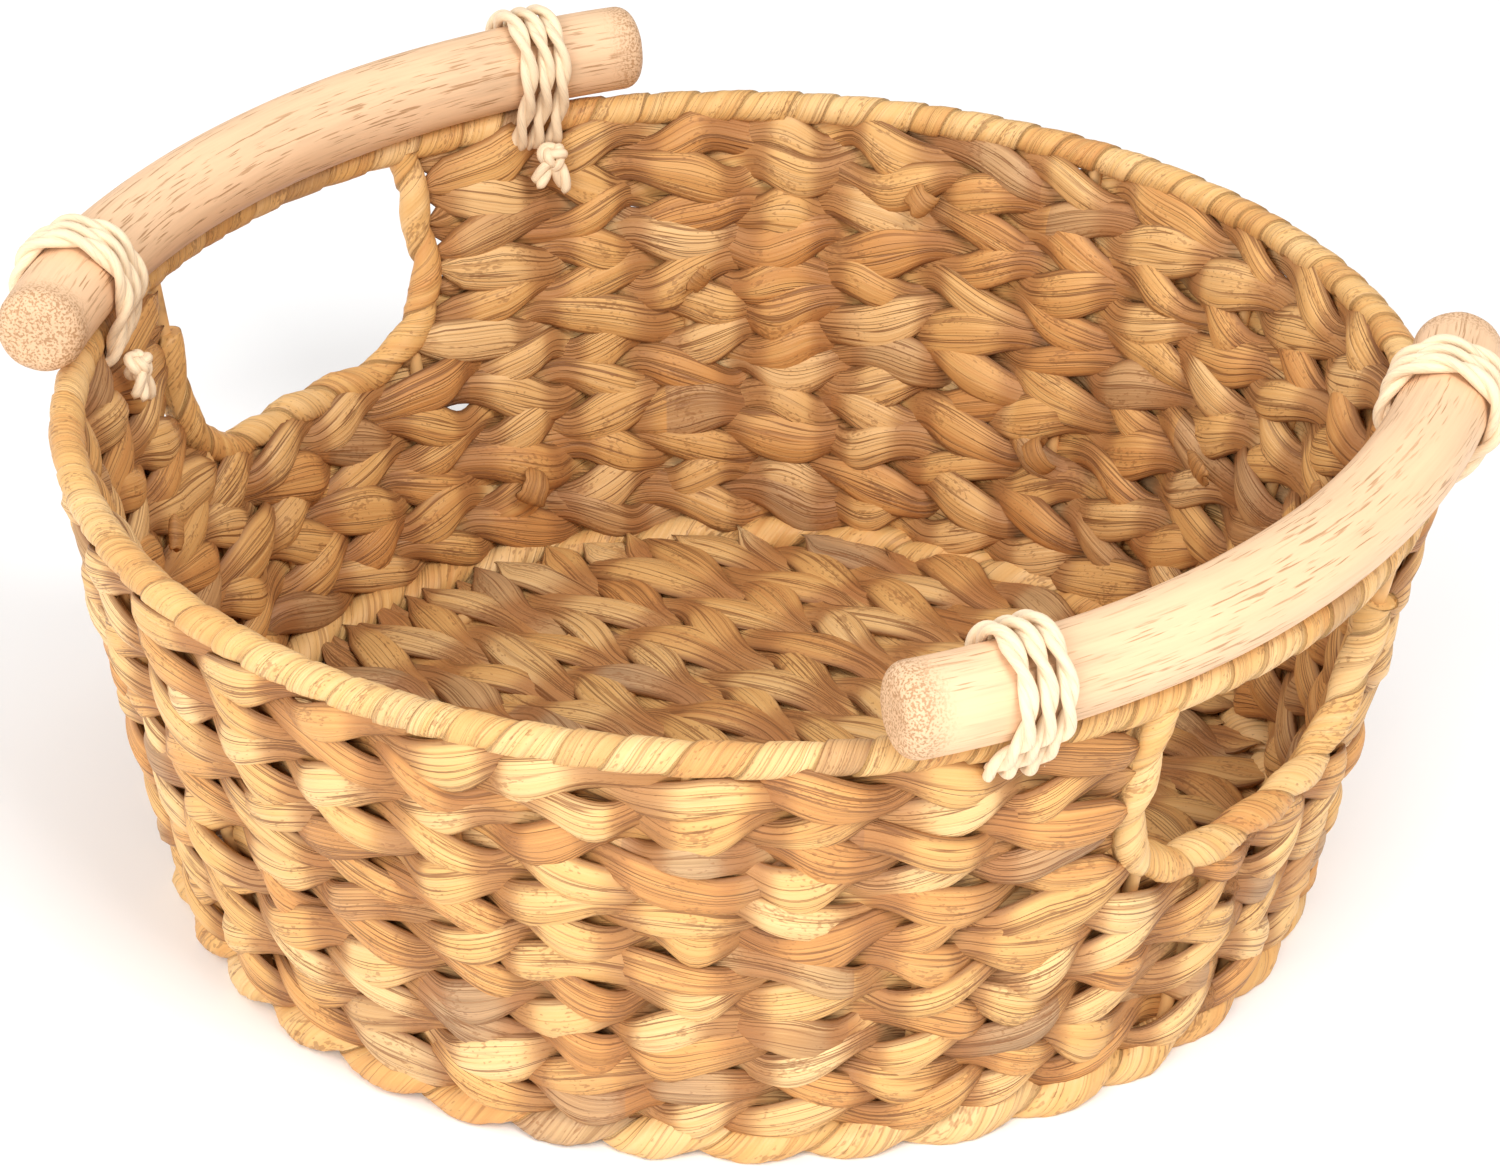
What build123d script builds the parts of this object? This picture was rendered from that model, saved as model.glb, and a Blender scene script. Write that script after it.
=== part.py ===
from build123d import *
from build123d.topology import SkipClean
import os
from math import asin, atan2, cos, degrees, hypot, pi, radians, sin, sqrt, tan

# Round basket twined on a welded wire frame, with two rattan poles lashed on its rim as handles.
# Origin: centre of the basket on the surface that it stands on. +Z is up, +X points at one handle.
# All sizes are in millimetres.

# Wire frame
rim_radius = 175.0             # centre of the top hoop's wire
rim_height = 132.0             # centre of the top hoop's wire above the surface
base_radius = 148.0            # centre of the bottom hoop's wire
hoop_wire = 4.6                # diameter of both hoops' wire
edge_wire = 4.2                # diameter of the hand-hole wires
stake_wire = 3.8               # diameter of the upright stakes and the floor stakes
stake_count = 36               # upright stakes round the wall
floor_stake_count = 9          # stakes across the floor, parallel to Y
floor_stake_spacing = 31.0

# Wrapped edges
rim_wrap_diameter = 8.5
base_wrap_diameter = 11.0
edge_wrap_diameter = 7.5
foot_flat_depth = 0.5          # how far the base wrap is pressed flat underneath

# Twined wall and floor
wall_thickness = 10.5
wall_row_count = 12
floor_thickness = 8.0
floor_braid_count = 12
floor_edge_gap = 1.5           # open slit between the floor's edge and the base wrap

# Hand holes, one under each handle
hole_half_width = 50.0         # from the middle to the centre of the hole's side wire
rows_below_hole = 6            # whole rows under the hand holes
hole_wrap_sink = 1.675         # how far a hole's bottom wrap beds into the row under it
hole_corner_radius = 28.0

# Rattan handles
pole_diameter = 23.5
pole_bend_radius = 232.0       # radius of the pole's centre line
pole_setback = 3.0             # how far the middle of a pole lies inside the rim hoop's circle
pole_half_chord = 120.0
pole_end_round = 5.0

# Lashings
cord_diameter = 4.8
cord_turns = 3
cord_pitch = 5.1               # from one turn to the next along the pole
lashing_angle = 22.5           # along the pole's bend, from its middle to a lashing, in degrees
pole_corners = 5               # corners of a turn's route round the pole
rim_corners = 3                # corners of a turn's route round the rim
knot_diameter = 9.0
knot_tail_length = 13.0
knot_drop = 5.9                # height of the knot's centre under the rim hoop's
knot_gap = 1.5                 # between a knot and the wall inside which it hangs

# Clearances
weave_gap = 0.3                # between the wall's rows and the wrap of a hand hole
seat_gap = 0.2                 # between a pole and the rim wrap, and between a cord and what it holds
passage_gap = 0.8              # round a lashing where it passes through the top row
cut_margin = 20.0              # how far a cutting tool runs past what it cuts
corner_share = 0.45            # share of a route's shorter run that the arc at its corner takes

# What follows from the sizes above
base_height = base_wrap_diameter / 2 - foot_flat_depth
wall_bottom = base_height + base_wrap_diameter / 2
wall_top = rim_height - rim_wrap_diameter / 2
row_pitch = (wall_top - wall_bottom) / wall_row_count
wall_slope = (rim_radius - base_radius) / (rim_height - base_height)
wall_lean = degrees(atan2(rim_radius - base_radius, rim_height - base_height))
floor_radius = base_radius - base_wrap_diameter / 2 - floor_edge_gap
braid_width = 2 * floor_radius / floor_braid_count
edge_wrap_reach = edge_wrap_diameter / 2 + weave_gap
hole_bottom_height = wall_bottom + rows_below_hole * row_pitch + edge_wrap_reach - hole_wrap_sink
pole_height = rim_height + rim_wrap_diameter / 2 + seat_gap + pole_diameter / 2
pole_centre = rim_radius - pole_setback - pole_bend_radius
pole_half_angle = degrees(asin(pole_half_chord / pole_bend_radius))
hole_reach = rim_radius + cut_margin


def wall_radius(height):
    """Radius of the wall's middle surface, where the stakes run, at a height."""
    return base_radius + wall_slope * (height - base_height)


def ring(section):
    """The section turned once round Z in quarters, because a torus of one closed face cuts badly."""
    quarter = revolve(section, Axis.Z, 90)
    whole = quarter
    for turn in (90, 180, 270):
        whole = whole + Rot(0, 0, turn) * quarter
    return whole


def round_section(radius, height, outer, inner=0):
    """Section of a hoop or of the wrap round a hoop, standing in the XZ plane."""
    section = Circle(outer / 2) - Circle(inner / 2) if inner else Circle(outer / 2)
    return Plane.XZ * Pos(radius, height) * section


def keep(shape, label):
    """Writes one node's solids to parts/."""
    solids = shape.solids()
    node = solids[0] if len(solids) == 1 else Compound(children=list(solids))
    node.label = label
    export_step(node, os.path.join("parts", label + ".step"))


def both_sides(shape):
    """The shape on the +X side and its mirror image on the -X side."""
    return {"right": shape, "left": mirror(shape, Plane.YZ)}


# Routes of straight runs joined by tangent arcs

def smooth_route(points):
    """A polyline whose corners are arcs as large as the runs beside them allow."""
    points = [Vector(*point) for point in points]
    radii = []
    for before, corner, after in zip(points, points[1:], points[2:]):
        run_in = corner - before
        run_out = after - corner
        half_turn = radians(run_in.get_angle(run_out)) / 2
        radii.append(corner_share * min(run_in.length, run_out.length) / tan(half_turn))
    return FilletPolyline(*points, radius=radii)


def rod_along(route, diameter):
    start = Plane(origin=route @ 0, z_dir=route % 0)
    return sweep(start * Circle(diameter / 2), path=route)


# Wire frame

def hoop(radius, height):
    return ring(round_section(radius, height, hoop_wire))


def stake(index):
    """One upright wire, from the middle of the base hoop to the middle of the rim hoop."""
    azimuth = 360 * (index + 0.5) / stake_count
    length = hypot(rim_radius - base_radius, rim_height - base_height)
    wire = Cylinder(stake_wire / 2, length, align=(Align.CENTER, Align.CENTER, Align.MIN))
    return Rot(0, 0, azimuth) * Pos(base_radius, 0, base_height) * Rot(0, wall_lean, 0) * wire


def floor_stake(offset):
    """One straight wire across the floor, between opposite sides of the base hoop."""
    half_length = sqrt(base_radius ** 2 - offset ** 2)
    wire = Cylinder(stake_wire / 2, 2 * half_length)
    return Pos(offset, 0, base_height) * Rot(90, 0, 0) * wire


def hole_outline(outwards):
    """Face of a hand hole seen along X, its edge moved outwards from the wire's centre line."""
    half_width = hole_half_width + outwards
    bottom = hole_bottom_height - outwards
    top = rim_height + rim_wrap_diameter
    corners = [(-half_width, top), (-half_width, bottom), (half_width, bottom), (half_width, top)]
    outline = Plane.YZ * make_face(Polyline(*corners, close=True))
    lower = outline.vertices().group_by(Axis.Z)[0]
    return fillet(lower, hole_corner_radius + outwards)


def hole_prism(outwards):
    """Cuts the hand hole of the +X side through the wall."""
    return extrude(hole_outline(outwards), amount=hole_reach)


def hole_route():
    """Centre line of the +X hand-hole wire: two sides, rounded corners and a bowed bottom."""
    corner_height = hole_bottom_height + hole_corner_radius
    step = hole_corner_radius * tan(pi / 8)
    half = [
        (hole_half_width, rim_height),
        (hole_half_width, corner_height - step),
        (hole_half_width - hole_corner_radius + step, hole_bottom_height),
    ]
    outline = half + [(0, hole_bottom_height)] + [(-y, z) for y, z in reversed(half)]
    return [(sqrt(wall_radius(z) ** 2 - y ** 2), y, z) for y, z in outline]


# Woven parts

def wall_ring(bottom, top):
    """A band of the wall between two heights, before the stakes and the hand holes are cut."""
    half = wall_thickness / 2
    section = [
        (wall_radius(bottom) - half, bottom),
        (wall_radius(bottom) + half, bottom),
        (wall_radius(top) + half, top),
        (wall_radius(top) - half, top),
    ]
    return ring(Plane.XZ * make_face(Polyline(*section, close=True)))


def floor_braid(index):
    """One braid of the floor, along X, between the floor's round edges."""
    low = -floor_radius + index * braid_width
    length = 2 * (floor_radius + cut_margin)
    strip = Pos(0, low + braid_width / 2, base_height) * Box(length, braid_width, floor_thickness)
    disc = Pos(0, 0, base_height) * Cylinder(floor_radius, floor_thickness + cut_margin)
    return strip & disc


# Handles and lashings

def pole():
    """The +X handle: a round pole bent to an arc, its ends cut square and rounded off."""
    section = round_section(pole_bend_radius, pole_height, pole_diameter)
    arc = revolve(Rot(0, 0, -pole_half_angle) * section, Axis.Z, 2 * pole_half_angle)
    ends = [face.edges()[0] for face in arc.faces() if face.geom_type == GeomType.PLANE]
    return Pos(pole_centre, 0, 0) * fillet(ends, pole_end_round)


def lashing_place():
    """Where a lashing grips: its frame has X along the pole and Y outwards, on the pole's centre."""
    place = Pos(pole_centre, 0, pole_height) * Rot(0, 0, lashing_angle)
    return place * Pos(pole_bend_radius, 0, 0) * Rot(0, 0, -90)


def rim_from_pole(along):
    """The rim's centre seen along the pole near a lashing: how far outwards and how far up."""
    outwards = Vector(cos(radians(lashing_angle)), sin(radians(lashing_angle)))
    forwards = Vector(outwards.Y, -outwards.X)
    point = Vector(pole_centre, 0) + outwards * pole_bend_radius + forwards * along
    reach = point.dot(outwards)
    out = sqrt(reach ** 2 - point.length ** 2 + rim_radius ** 2) - reach
    return out, rim_height - pole_height


def turn_corners(along):
    """Corners of one turn of cord, round the pole and then under the rim, as (out, up) pairs."""
    out, up = rim_from_pole(along)
    pole_loop = pole_diameter / 2 + seat_gap + cord_diameter / 2
    rim_loop = rim_wrap_diameter / 2 + seat_gap + cord_diameter / 2
    towards_rim = atan2(up, out)
    taper = asin((pole_loop - rim_loop) / hypot(out, up))
    pole_step = (pi + 2 * taper) / pole_corners
    rim_step = (pi - 2 * taper) / rim_corners
    pole_start = towards_rim + pi / 2 - taper
    rim_start = towards_rim - pi / 2 + taper
    corners = []
    for index in range(pole_corners):
        angle = pole_start + (index + 0.5) * pole_step
        reach = pole_loop / cos(pole_step / 2)
        corners.append((reach * cos(angle), reach * sin(angle)))
    for index in range(rim_corners):
        angle = rim_start + (index + 0.5) * rim_step
        reach = rim_loop / cos(rim_step / 2)
        corners.append((out + reach * cos(angle), up + reach * sin(angle)))
    return corners


def lashing():
    """Turns of cord laid side by side, tight round a pole and the rim under it."""
    per_turn = pole_corners + rim_corners
    count = cord_turns * per_turn
    points = []
    for index in range(count):
        along = (index - (count - 1) / 2) * cord_pitch / per_turn
        corner = (index - 1) % per_turn
        points.append((along, *turn_corners(along)[corner]))
    return lashing_place() * rod_along(smooth_route(points), cord_diameter)


def lashing_passage():
    """The slot in the top row that a lashing's turns pass through, under the rim."""
    out, up = rim_from_pole(0)
    width = cord_turns * cord_pitch + cord_diameter + 2 * passage_gap
    depth = rim_wrap_diameter / 2 + seat_gap + cord_diameter + passage_gap
    reach = wall_thickness + cut_margin
    slot = Box(width, reach, depth, align=(Align.CENTER, Align.CENTER, Align.MAX))
    return lashing_place() * Pos(0, out, up) * slot


def knot():
    """The knot that ends a lashing inside the rim, with its cut tail down along the wall."""
    out, up = rim_from_pole(0)
    to_wall = (knot_diameter / 2 + knot_gap) * hypot(1, wall_slope)
    inwards = wall_thickness / 2 + wall_slope * knot_drop + to_wall
    tail = Cylinder(cord_diameter / 2, knot_tail_length, align=(Align.CENTER, Align.CENTER, Align.MAX))
    body = Rot(-wall_lean, 0, 0) * (Sphere(knot_diameter / 2) + tail)
    return lashing_place() * Pos(0, out - inwards, up - knot_drop) * body


def build_frame():
    """Every wire, as a dictionary of node names."""
    rim = hoop(rim_radius, rim_height)
    base = hoop(base_radius, base_height)
    hole_wires = both_sides(rod_along(smooth_route(hole_route()), edge_wire) - rim)
    holes = both_sides(hole_prism(0))
    wires = []
    for index in range(stake_count):
        cut = stake(index) - rim - base
        for side in holes:
            cut = cut - holes[side] - hole_wires[side]
        wires.append(cut.solids().sort_by(Axis.Z)[0])
    middle = (floor_stake_count - 1) / 2
    offsets = [(index - middle) * floor_stake_spacing for index in range(floor_stake_count)]
    floor_wires = []
    for offset in offsets:
        cut = floor_stake(offset) - base - wires
        floor_wires.append(cut.solids().sort_by(SortBy.VOLUME)[-1])
    return {
        "rim_hoop": rim,
        "base_hoop": base,
        "wall_stakes": Compound(children=wires),
        "floor_stakes": Compound(children=floor_wires),
        "hand_hole_wire_right": hole_wires["right"],
        "hand_hole_wire_left": hole_wires["left"],
    }


def build_wraps(frame):
    """The wrapped rim, foot and hand-hole edges, each with its wires cut out of it."""
    rim_solid = ring(round_section(rim_radius, rim_height, rim_wrap_diameter))
    rim_section = round_section(rim_radius, rim_height, rim_wrap_diameter, hoop_wire)
    base_section = round_section(base_radius, base_height, base_wrap_diameter, hoop_wire)
    width = base_wrap_diameter + cut_margin
    ground = Plane.XZ * Pos(base_radius, 0) * Rectangle(width, cut_margin, align=(Align.CENTER, Align.MAX))
    stakes = frame["wall_stakes"].solids()
    hole_wires = [frame["hand_hole_wire_right"], frame["hand_hole_wire_left"]]
    rim_wrap = ring(rim_section) - stakes - hole_wires
    base_wrap = ring(base_section - ground) - stakes - frame["floor_stakes"].solids()
    edge = rod_along(smooth_route(hole_route()), edge_wrap_diameter) - rim_solid
    edge = edge.solids().sort_by(SortBy.VOLUME)[-1]
    edges = both_sides(edge)
    wraps = {"rim_wrap": rim_wrap, "base_ring_wrap": base_wrap}
    for side, wire in zip(("right", "left"), hole_wires):
        wraps["hand_hole_wrap_" + side] = edges[side] - wire - stakes
    return wraps


def build_wall(frame):
    """The wall's twined rows: whole rings below the hand holes, two halves beside them."""
    stakes = frame["wall_stakes"].solids()
    holes = list(both_sides(hole_prism(edge_wrap_reach)).values())
    corner = both_sides(lashing_passage())
    passages = []
    for slot in corner.values():
        passages += [slot, mirror(slot, Plane.XZ)]
    rows = {}
    for index in range(wall_row_count):
        bottom = wall_bottom + index * row_pitch
        top = bottom + row_pitch
        row = wall_ring(bottom, top) - stakes
        if top > hole_bottom_height - edge_wrap_reach:
            row = row - holes
        if top > rim_height - rim_wrap_diameter / 2 - cord_diameter:
            row = row - passages
        name = "wall_row_%02d" % (index + 1)
        pieces = row.solids().sort_by(Axis.Y)
        if len(pieces) == 1:
            rows[name] = pieces[0]
        else:
            rows[name + "_front"] = pieces[0]
            rows[name + "_back"] = pieces[-1]
    return rows


def build_floor(frame):
    """The floor's braids, each with the floor stakes cut out of it."""
    stakes = frame["floor_stakes"].solids()
    braids = {}
    for index in range(floor_braid_count):
        braids["floor_braid_%02d" % (index + 1)] = floor_braid(index) - stakes
    return braids


def build_handles():
    nodes = {"handle_" + side: shape for side, shape in both_sides(pole()).items()}
    for piece, shape in (("lashing", lashing()), ("lashing_knot", knot())):
        for side, back in both_sides(shape).items():
            nodes["_".join((piece, side, "back"))] = back
            nodes["_".join((piece, side, "front"))] = mirror(back, Plane.XZ)
    return nodes


def main():
    os.makedirs("parts", exist_ok=True)
    with SkipClean():    # joining the quarters' faces again would undo what ring() is for
        frame = build_frame()
        woven = {**build_wall(frame), **build_floor(frame)}
        nodes = {**frame, **build_wraps(frame), **woven, **build_handles()}
    for name, shape in nodes.items():
        keep(shape, name)
    print(len(nodes), "nodes")


main()
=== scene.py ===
import math
import random

import bpy
from bpy.props import FloatProperty, FloatVectorProperty, IntProperty, PointerProperty
from mathutils import Matrix, Vector, noise


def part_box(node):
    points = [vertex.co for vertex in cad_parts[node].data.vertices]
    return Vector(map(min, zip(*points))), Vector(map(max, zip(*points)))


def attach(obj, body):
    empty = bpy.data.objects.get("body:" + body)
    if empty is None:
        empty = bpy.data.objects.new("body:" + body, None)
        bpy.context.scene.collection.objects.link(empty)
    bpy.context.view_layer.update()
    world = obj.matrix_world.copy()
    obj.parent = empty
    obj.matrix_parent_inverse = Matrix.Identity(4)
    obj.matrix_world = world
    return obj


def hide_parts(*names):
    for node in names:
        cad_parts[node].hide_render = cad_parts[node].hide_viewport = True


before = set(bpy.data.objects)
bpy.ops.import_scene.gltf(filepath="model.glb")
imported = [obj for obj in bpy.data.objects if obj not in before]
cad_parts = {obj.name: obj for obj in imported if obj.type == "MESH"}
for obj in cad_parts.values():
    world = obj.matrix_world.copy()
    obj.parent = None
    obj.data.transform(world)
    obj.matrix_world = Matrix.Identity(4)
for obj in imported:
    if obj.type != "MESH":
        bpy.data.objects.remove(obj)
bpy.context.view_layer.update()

bl_info = {
    "name": "Twined basket with rattan handles",
    "version": (1, 0, 0),
    "blender": (4, 5, 0),
    "location": "3D View > Sidebar > Basket",
    "description": "Weaves, binds and ties a basket round its packed wire frame",
    "category": "Object",
}

MM = 0.001
UP = Vector((0, 0, 1))
SIDES = {"right": 1, "left": -1}
ENDS = {"back": 1, "front": -1}
GROUND_GAP = 0.3 * MM     # no strand comes nearer to the ground than this


def hoop_size(node):
    """Radius, height and half thickness of a hoop that lies flat round the basket's axis."""
    low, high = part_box(node)
    half = (high.z - low.z) / 2
    return high.x - half, (low.z + high.z) / 2, half


RIM_RADIUS, RIM_HEIGHT, _ = hoop_size("rim_hoop")
BASE_RADIUS, BASE_HEIGHT, BASE_WIRE = hoop_size("base_hoop")
RIM_WRAP = hoop_size("rim_wrap")[2]
WALL_SLOPE = (RIM_RADIUS - BASE_RADIUS) / (RIM_HEIGHT - BASE_HEIGHT)
WALL_UP = math.atan(WALL_SLOPE)
HOLE_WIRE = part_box("hand_hole_wire_right")
HOLE_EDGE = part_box("hand_hole_wrap_right")[1].y - HOLE_WIRE[1].y
HOLE_HALF = HOLE_WIRE[1].y - HOLE_EDGE
HOLE_BOTTOM = HOLE_WIRE[0].z + HOLE_EDGE
WALL_ROWS = sorted({name[:len("wall_row_00")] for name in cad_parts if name.startswith("wall_row_")})
FLOOR_BRAIDS = sorted(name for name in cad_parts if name.startswith("floor_braid_"))


# Settings

def length(name, description, value):
    """A length that is given in millimetres."""
    return FloatProperty(name=name, description=description, default=value * MM, unit="LENGTH")


def direction(name, description, degrees):
    return FloatProperty(name=name, description=description, default=math.radians(degrees), subtype="ANGLE")


class BasketSizes(bpy.types.PropertyGroup):
    """Sizes of the weave, the bindings, the handles and the cord."""
    stakes: IntProperty(name="Stakes", description="Upright wires round the wall", default=36)
    strand_width: length("Strand width", "Width of a stem where it lies over a stake", 15.0)
    strand_thickness: length("Strand thickness", "Thickness of a pressed stem", 5.2)
    strand_reach: length("Strand reach", "How far a stem passes in front of or behind the stakes", 3.9)
    strand_climb: length("Strand climb", "How far a stem rises and falls where the pair crosses", 3.9)
    floor_spacing: length("Floor stake spacing", "Distance between the floor's wires", 31)
    turning_azimuth: direction("Turning line", "Azimuth where the rows' slant turns round", 125)
    hole_corner: length("Hand-hole corner", "Corner radius of the hand-hole wire", 28)
    pole_bend: length("Handle bend", "Radius of a handle's centre line", 232)
    lashing_angle: direction("Lashing place", "Angle along a handle from its middle to a lashing", 22.5)
    cord_thickness: length("Cord thickness", "Diameter of the two-ply lashing cord", 5.1)
    cord_pitch: length("Cord pitch", "Distance from one turn of cord to the next", 5.1)
    cord_twist: length("Cord twist", "Length in which the two plies go round each other once", 26)


def colour(name, description, value):
    return FloatVectorProperty(
        name=name, description=description, subtype="COLOR", size=4, min=0, max=1, default=(*value, 1))


class BasketColours(bpy.types.PropertyGroup):
    """Colours of the dried plants, the wood, the cord and the wire."""
    straw: colour("Straw", "Palest stems", (0.86, 0.57, 0.27))
    gold: colour("Gold", "Most of the wall's stems", (0.74, 0.42, 0.145))
    # Amber also gives the painted warm shade on the strands' inner faces.
    amber: colour("Amber", "Warm brown stems", (0.50, 0.23, 0.07))
    ash: colour("Ash", "Stems that dried grey", (0.45, 0.27, 0.14))
    # Umber also gives the painted shade where stems cross behind the stakes, along leaf edges and in the
    # bindings' seams.
    umber: colour("Umber", "Specks, tucked ends and cut ends", (0.20, 0.08, 0.025))
    rattan: colour("Rattan", "Scraped rattan", (0.80, 0.52, 0.31))
    pore: colour("Pore", "Pores of the rattan", (0.36, 0.17, 0.06))
    cord: colour("Cord", "Paper cord", (0.88, 0.68, 0.45))
    wire: colour("Wire", "Painted wire", (0.60, 0.34, 0.13))
    ground: colour("Ground", "Surface that the basket stands on", (0.93, 0.93, 0.93))


# Node trees

SEAM_GAP = 0.01 * MM      # points closer than this are one point
NUMBER, GEOMETRY = "NodeSocketFloat", "NodeSocketGeometry"


class Graph:
    """A node tree being built. Each method adds a node and gives back what it puts out."""

    def __init__(self, tree):
        self.tree = tree

    @classmethod
    def group(cls, name, kind, inputs, outputs):
        """A new node group with its sockets, its input values in .given and its end node in .end."""
        graph = cls(bpy.data.node_groups.new(name, kind))
        for socket_name, socket_kind, default in inputs:
            socket = graph.tree.interface.new_socket(socket_name, in_out="INPUT", socket_type=socket_kind)
            if default is not None:
                socket.default_value = default
        for socket_name, socket_kind in outputs:
            graph.tree.interface.new_socket(socket_name, in_out="OUTPUT", socket_type=socket_kind)
        graph.given = graph.tree.nodes.new("NodeGroupInput").outputs
        graph.end = graph.tree.nodes.new("NodeGroupOutput").inputs
        return graph

    def feed(self, socket, value):
        if isinstance(value, bpy.types.NodeSocket):
            self.tree.links.new(value, socket)
        elif value is not None:
            socket.default_value = value

    def node(self, kind, values=None, **settings):
        node = self.tree.nodes.new(kind)
        for key, value in settings.items():
            setattr(node, key, value)
        for key, value in (values or {}).items():
            self.feed(node.inputs[key], value)
        return node

    def math(self, operation, *values):
        node = self.node("ShaderNodeMath", dict(enumerate(values)), operation=operation)
        return node.outputs[0]

    def total(self, first, *others):
        for other in others:
            first = self.math("ADD", first, other)
        return first

    def product(self, first, *others):
        for other in others:
            first = self.math("MULTIPLY", first, other)
        return first

    def vector(self, operation, *values):
        node = self.node("ShaderNodeVectorMath", dict(enumerate(values)), operation=operation)
        return node.outputs[0]

    def vector_sum(self, first, *others):
        for other in others:
            first = self.vector("ADD", first, other)
        return first

    def scaled(self, vector, factor):
        node = self.node("ShaderNodeVectorMath", {0: vector, "Scale": factor}, operation="SCALE")
        return node.outputs[0]

    def combine(self, x=0.0, y=0.0, z=0.0):
        return self.node("ShaderNodeCombineXYZ", {"X": x, "Y": y, "Z": z}).outputs[0]

    def separate(self, vector):
        return self.node("ShaderNodeSeparateXYZ", {0: vector}).outputs

    def noise(self, vector, shift=0.0, scale=1.0, detail=0.0):
        """Smooth noise between 0 and 1 that differs for each shift."""
        values = {"Vector": vector, "W": shift, "Scale": scale, "Detail": detail}
        return self.node("ShaderNodeTexNoise", values, noise_dimensions="4D").outputs[0]

    def chance(self, x, y=0.0, z=0.0):
        """One random number for each triple of whole numbers."""
        return self.node("ShaderNodeTexWhiteNoise", {"Vector": self.combine(x, y, z)}).outputs["Value"]

    def span(self, value, low, high, to_low=0.0, to_high=1.0, smooth=False):
        values = {"Value": value, "From Min": low, "From Max": high, "To Min": to_low, "To Max": to_high}
        kind = "SMOOTHSTEP" if smooth else "LINEAR"
        return self.node("ShaderNodeMapRange", values, interpolation_type=kind).outputs[0]

    def mixed(self, factor, first, second):
        """Two colours mixed. A mix node's colour sockets are its inputs 6 and 7 and its output 2."""
        values = {0: factor, 6: first, 7: second}
        return self.node("ShaderNodeMix", values, data_type="RGBA").outputs[2]

    def reading(self, guide, index, name, kind="FLOAT"):
        """What the guide line holds under a name at a station."""
        if name == "position":
            value = self.node("GeometryNodeInputPosition").outputs[0]
        else:
            values = {"Name": name}
            value = self.node("GeometryNodeInputNamedAttribute", values, data_type=kind).outputs[0]
        values = {"Geometry": guide, "Value": value, "Index": index}
        return self.node("GeometryNodeSampleIndex", values, data_type=kind, clamp=True).outputs[0]

    def station(self, guide, index):
        """A station's place and its two directions across the line."""
        return (self.reading(guide, index, name, "FLOAT_VECTOR") for name in ("position", "outward", "upward"))

    def store(self, mesh, name, value, kind="FLOAT"):
        values = {"Geometry": mesh, "Name": name, "Value": value}
        return self.node("GeometryNodeStoreNamedAttribute", values, data_type=kind, domain="POINT").outputs[0]

    def skin(self, rows, facets):
        """A grid to be wrapped round a line: its mesh, turn round the line, station row and facet."""
        values = {"Size X": 1.0, "Size Y": 1.0, "Vertices X": self.math("ADD", facets, 1), "Vertices Y": rows}
        grid = self.node("GeometryNodeMeshGrid", values).outputs[0]
        place = self.separate(self.node("GeometryNodeInputPosition").outputs[0])
        turn = self.math("ADD", place["X"], 0.5)
        row = self.math("MULTIPLY", self.math("ADD", place["Y"], 0.5), self.math("SUBTRACT", rows, 1))
        facet = self.math("ROUND", self.math("MULTIPLY", turn, facets))
        return grid, turn, self.math("ROUND", row), facet

    def finish_mesh(self, mesh, material):
        """Closes the skin's seams and gives it its material."""
        values = {"Geometry": mesh, "Distance": SEAM_GAP}
        mesh = self.node("GeometryNodeMergeByDistance", values).outputs[0]
        mesh = self.node("GeometryNodeSetShadeSmooth", {"Geometry": mesh}).outputs[0]
        mesh = self.node("GeometryNodeRealizeInstances", {"Geometry": mesh}).outputs[0]
        mesh = self.node("GeometryNodeSetMaterial", {"Geometry": mesh, "Material": material}).outputs[0]
        self.feed(self.end[0], mesh)


STRAND_SOCKETS = (
    ("Guide", GEOMETRY, None),
    ("Facets", "NodeSocketInt", 22),
    ("Width", NUMBER, 13 * MM),
    ("Thickness", NUMBER, 5 * MM),
    ("Reach", NUMBER, 3.6 * MM),
    ("Climb", NUMBER, 3.2 * MM),
    ("Pinch", NUMBER, 0.28),
    ("Sharpness", NUMBER, 0.5),
    ("Steadiness", NUMBER, 0.93),
    ("Roll", NUMBER, 0.0),
    ("Unevenness", NUMBER, 1.0),
    ("Folds", NUMBER, 1.0),
    ("Seed", NUMBER, 0.0),
)

# How a strand strays: the number of its noise, the noise's waves in a metre, and how far it goes
TURN_WAVER = (11.0, 30.0, 0.4)
WIDTH_WAVER = (21.0, 34.0, 0.5)
THICKNESS_WAVER = (31.0, 34.0, 0.6)
REACH_WAVER = (41.0, 32.0, 2.4 * MM)
CLIMB_WAVER = (51.0, 32.0, 2.6 * MM)
FOLD_NUMBER = 3.3
FOLD_WAVES = (2.6, 1.6, 26.0)               # across a strand, through it, and in a metre along it
FOLD_SHARES = (0.16, 0.75)                  # of a strand's width and of its thickness
SIDE_SEED = 5.7                             # sets the second strand's chances apart from the first's
LEAF_GRAIN = (6 * MM, 3 * MM, 28 * MM)      # half width, half thickness, and stake to stake
SEED_GRAIN = 0.171                          # sets each strand's grain apart from the next one's
RUN_SHARE, RUN_SHIFT = 0.45, 1.7            # a run of about two leaves comes from one stem
TONE_PASSING = 0.82                         # place on a leaf where its tone starts to become the next one's


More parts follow.
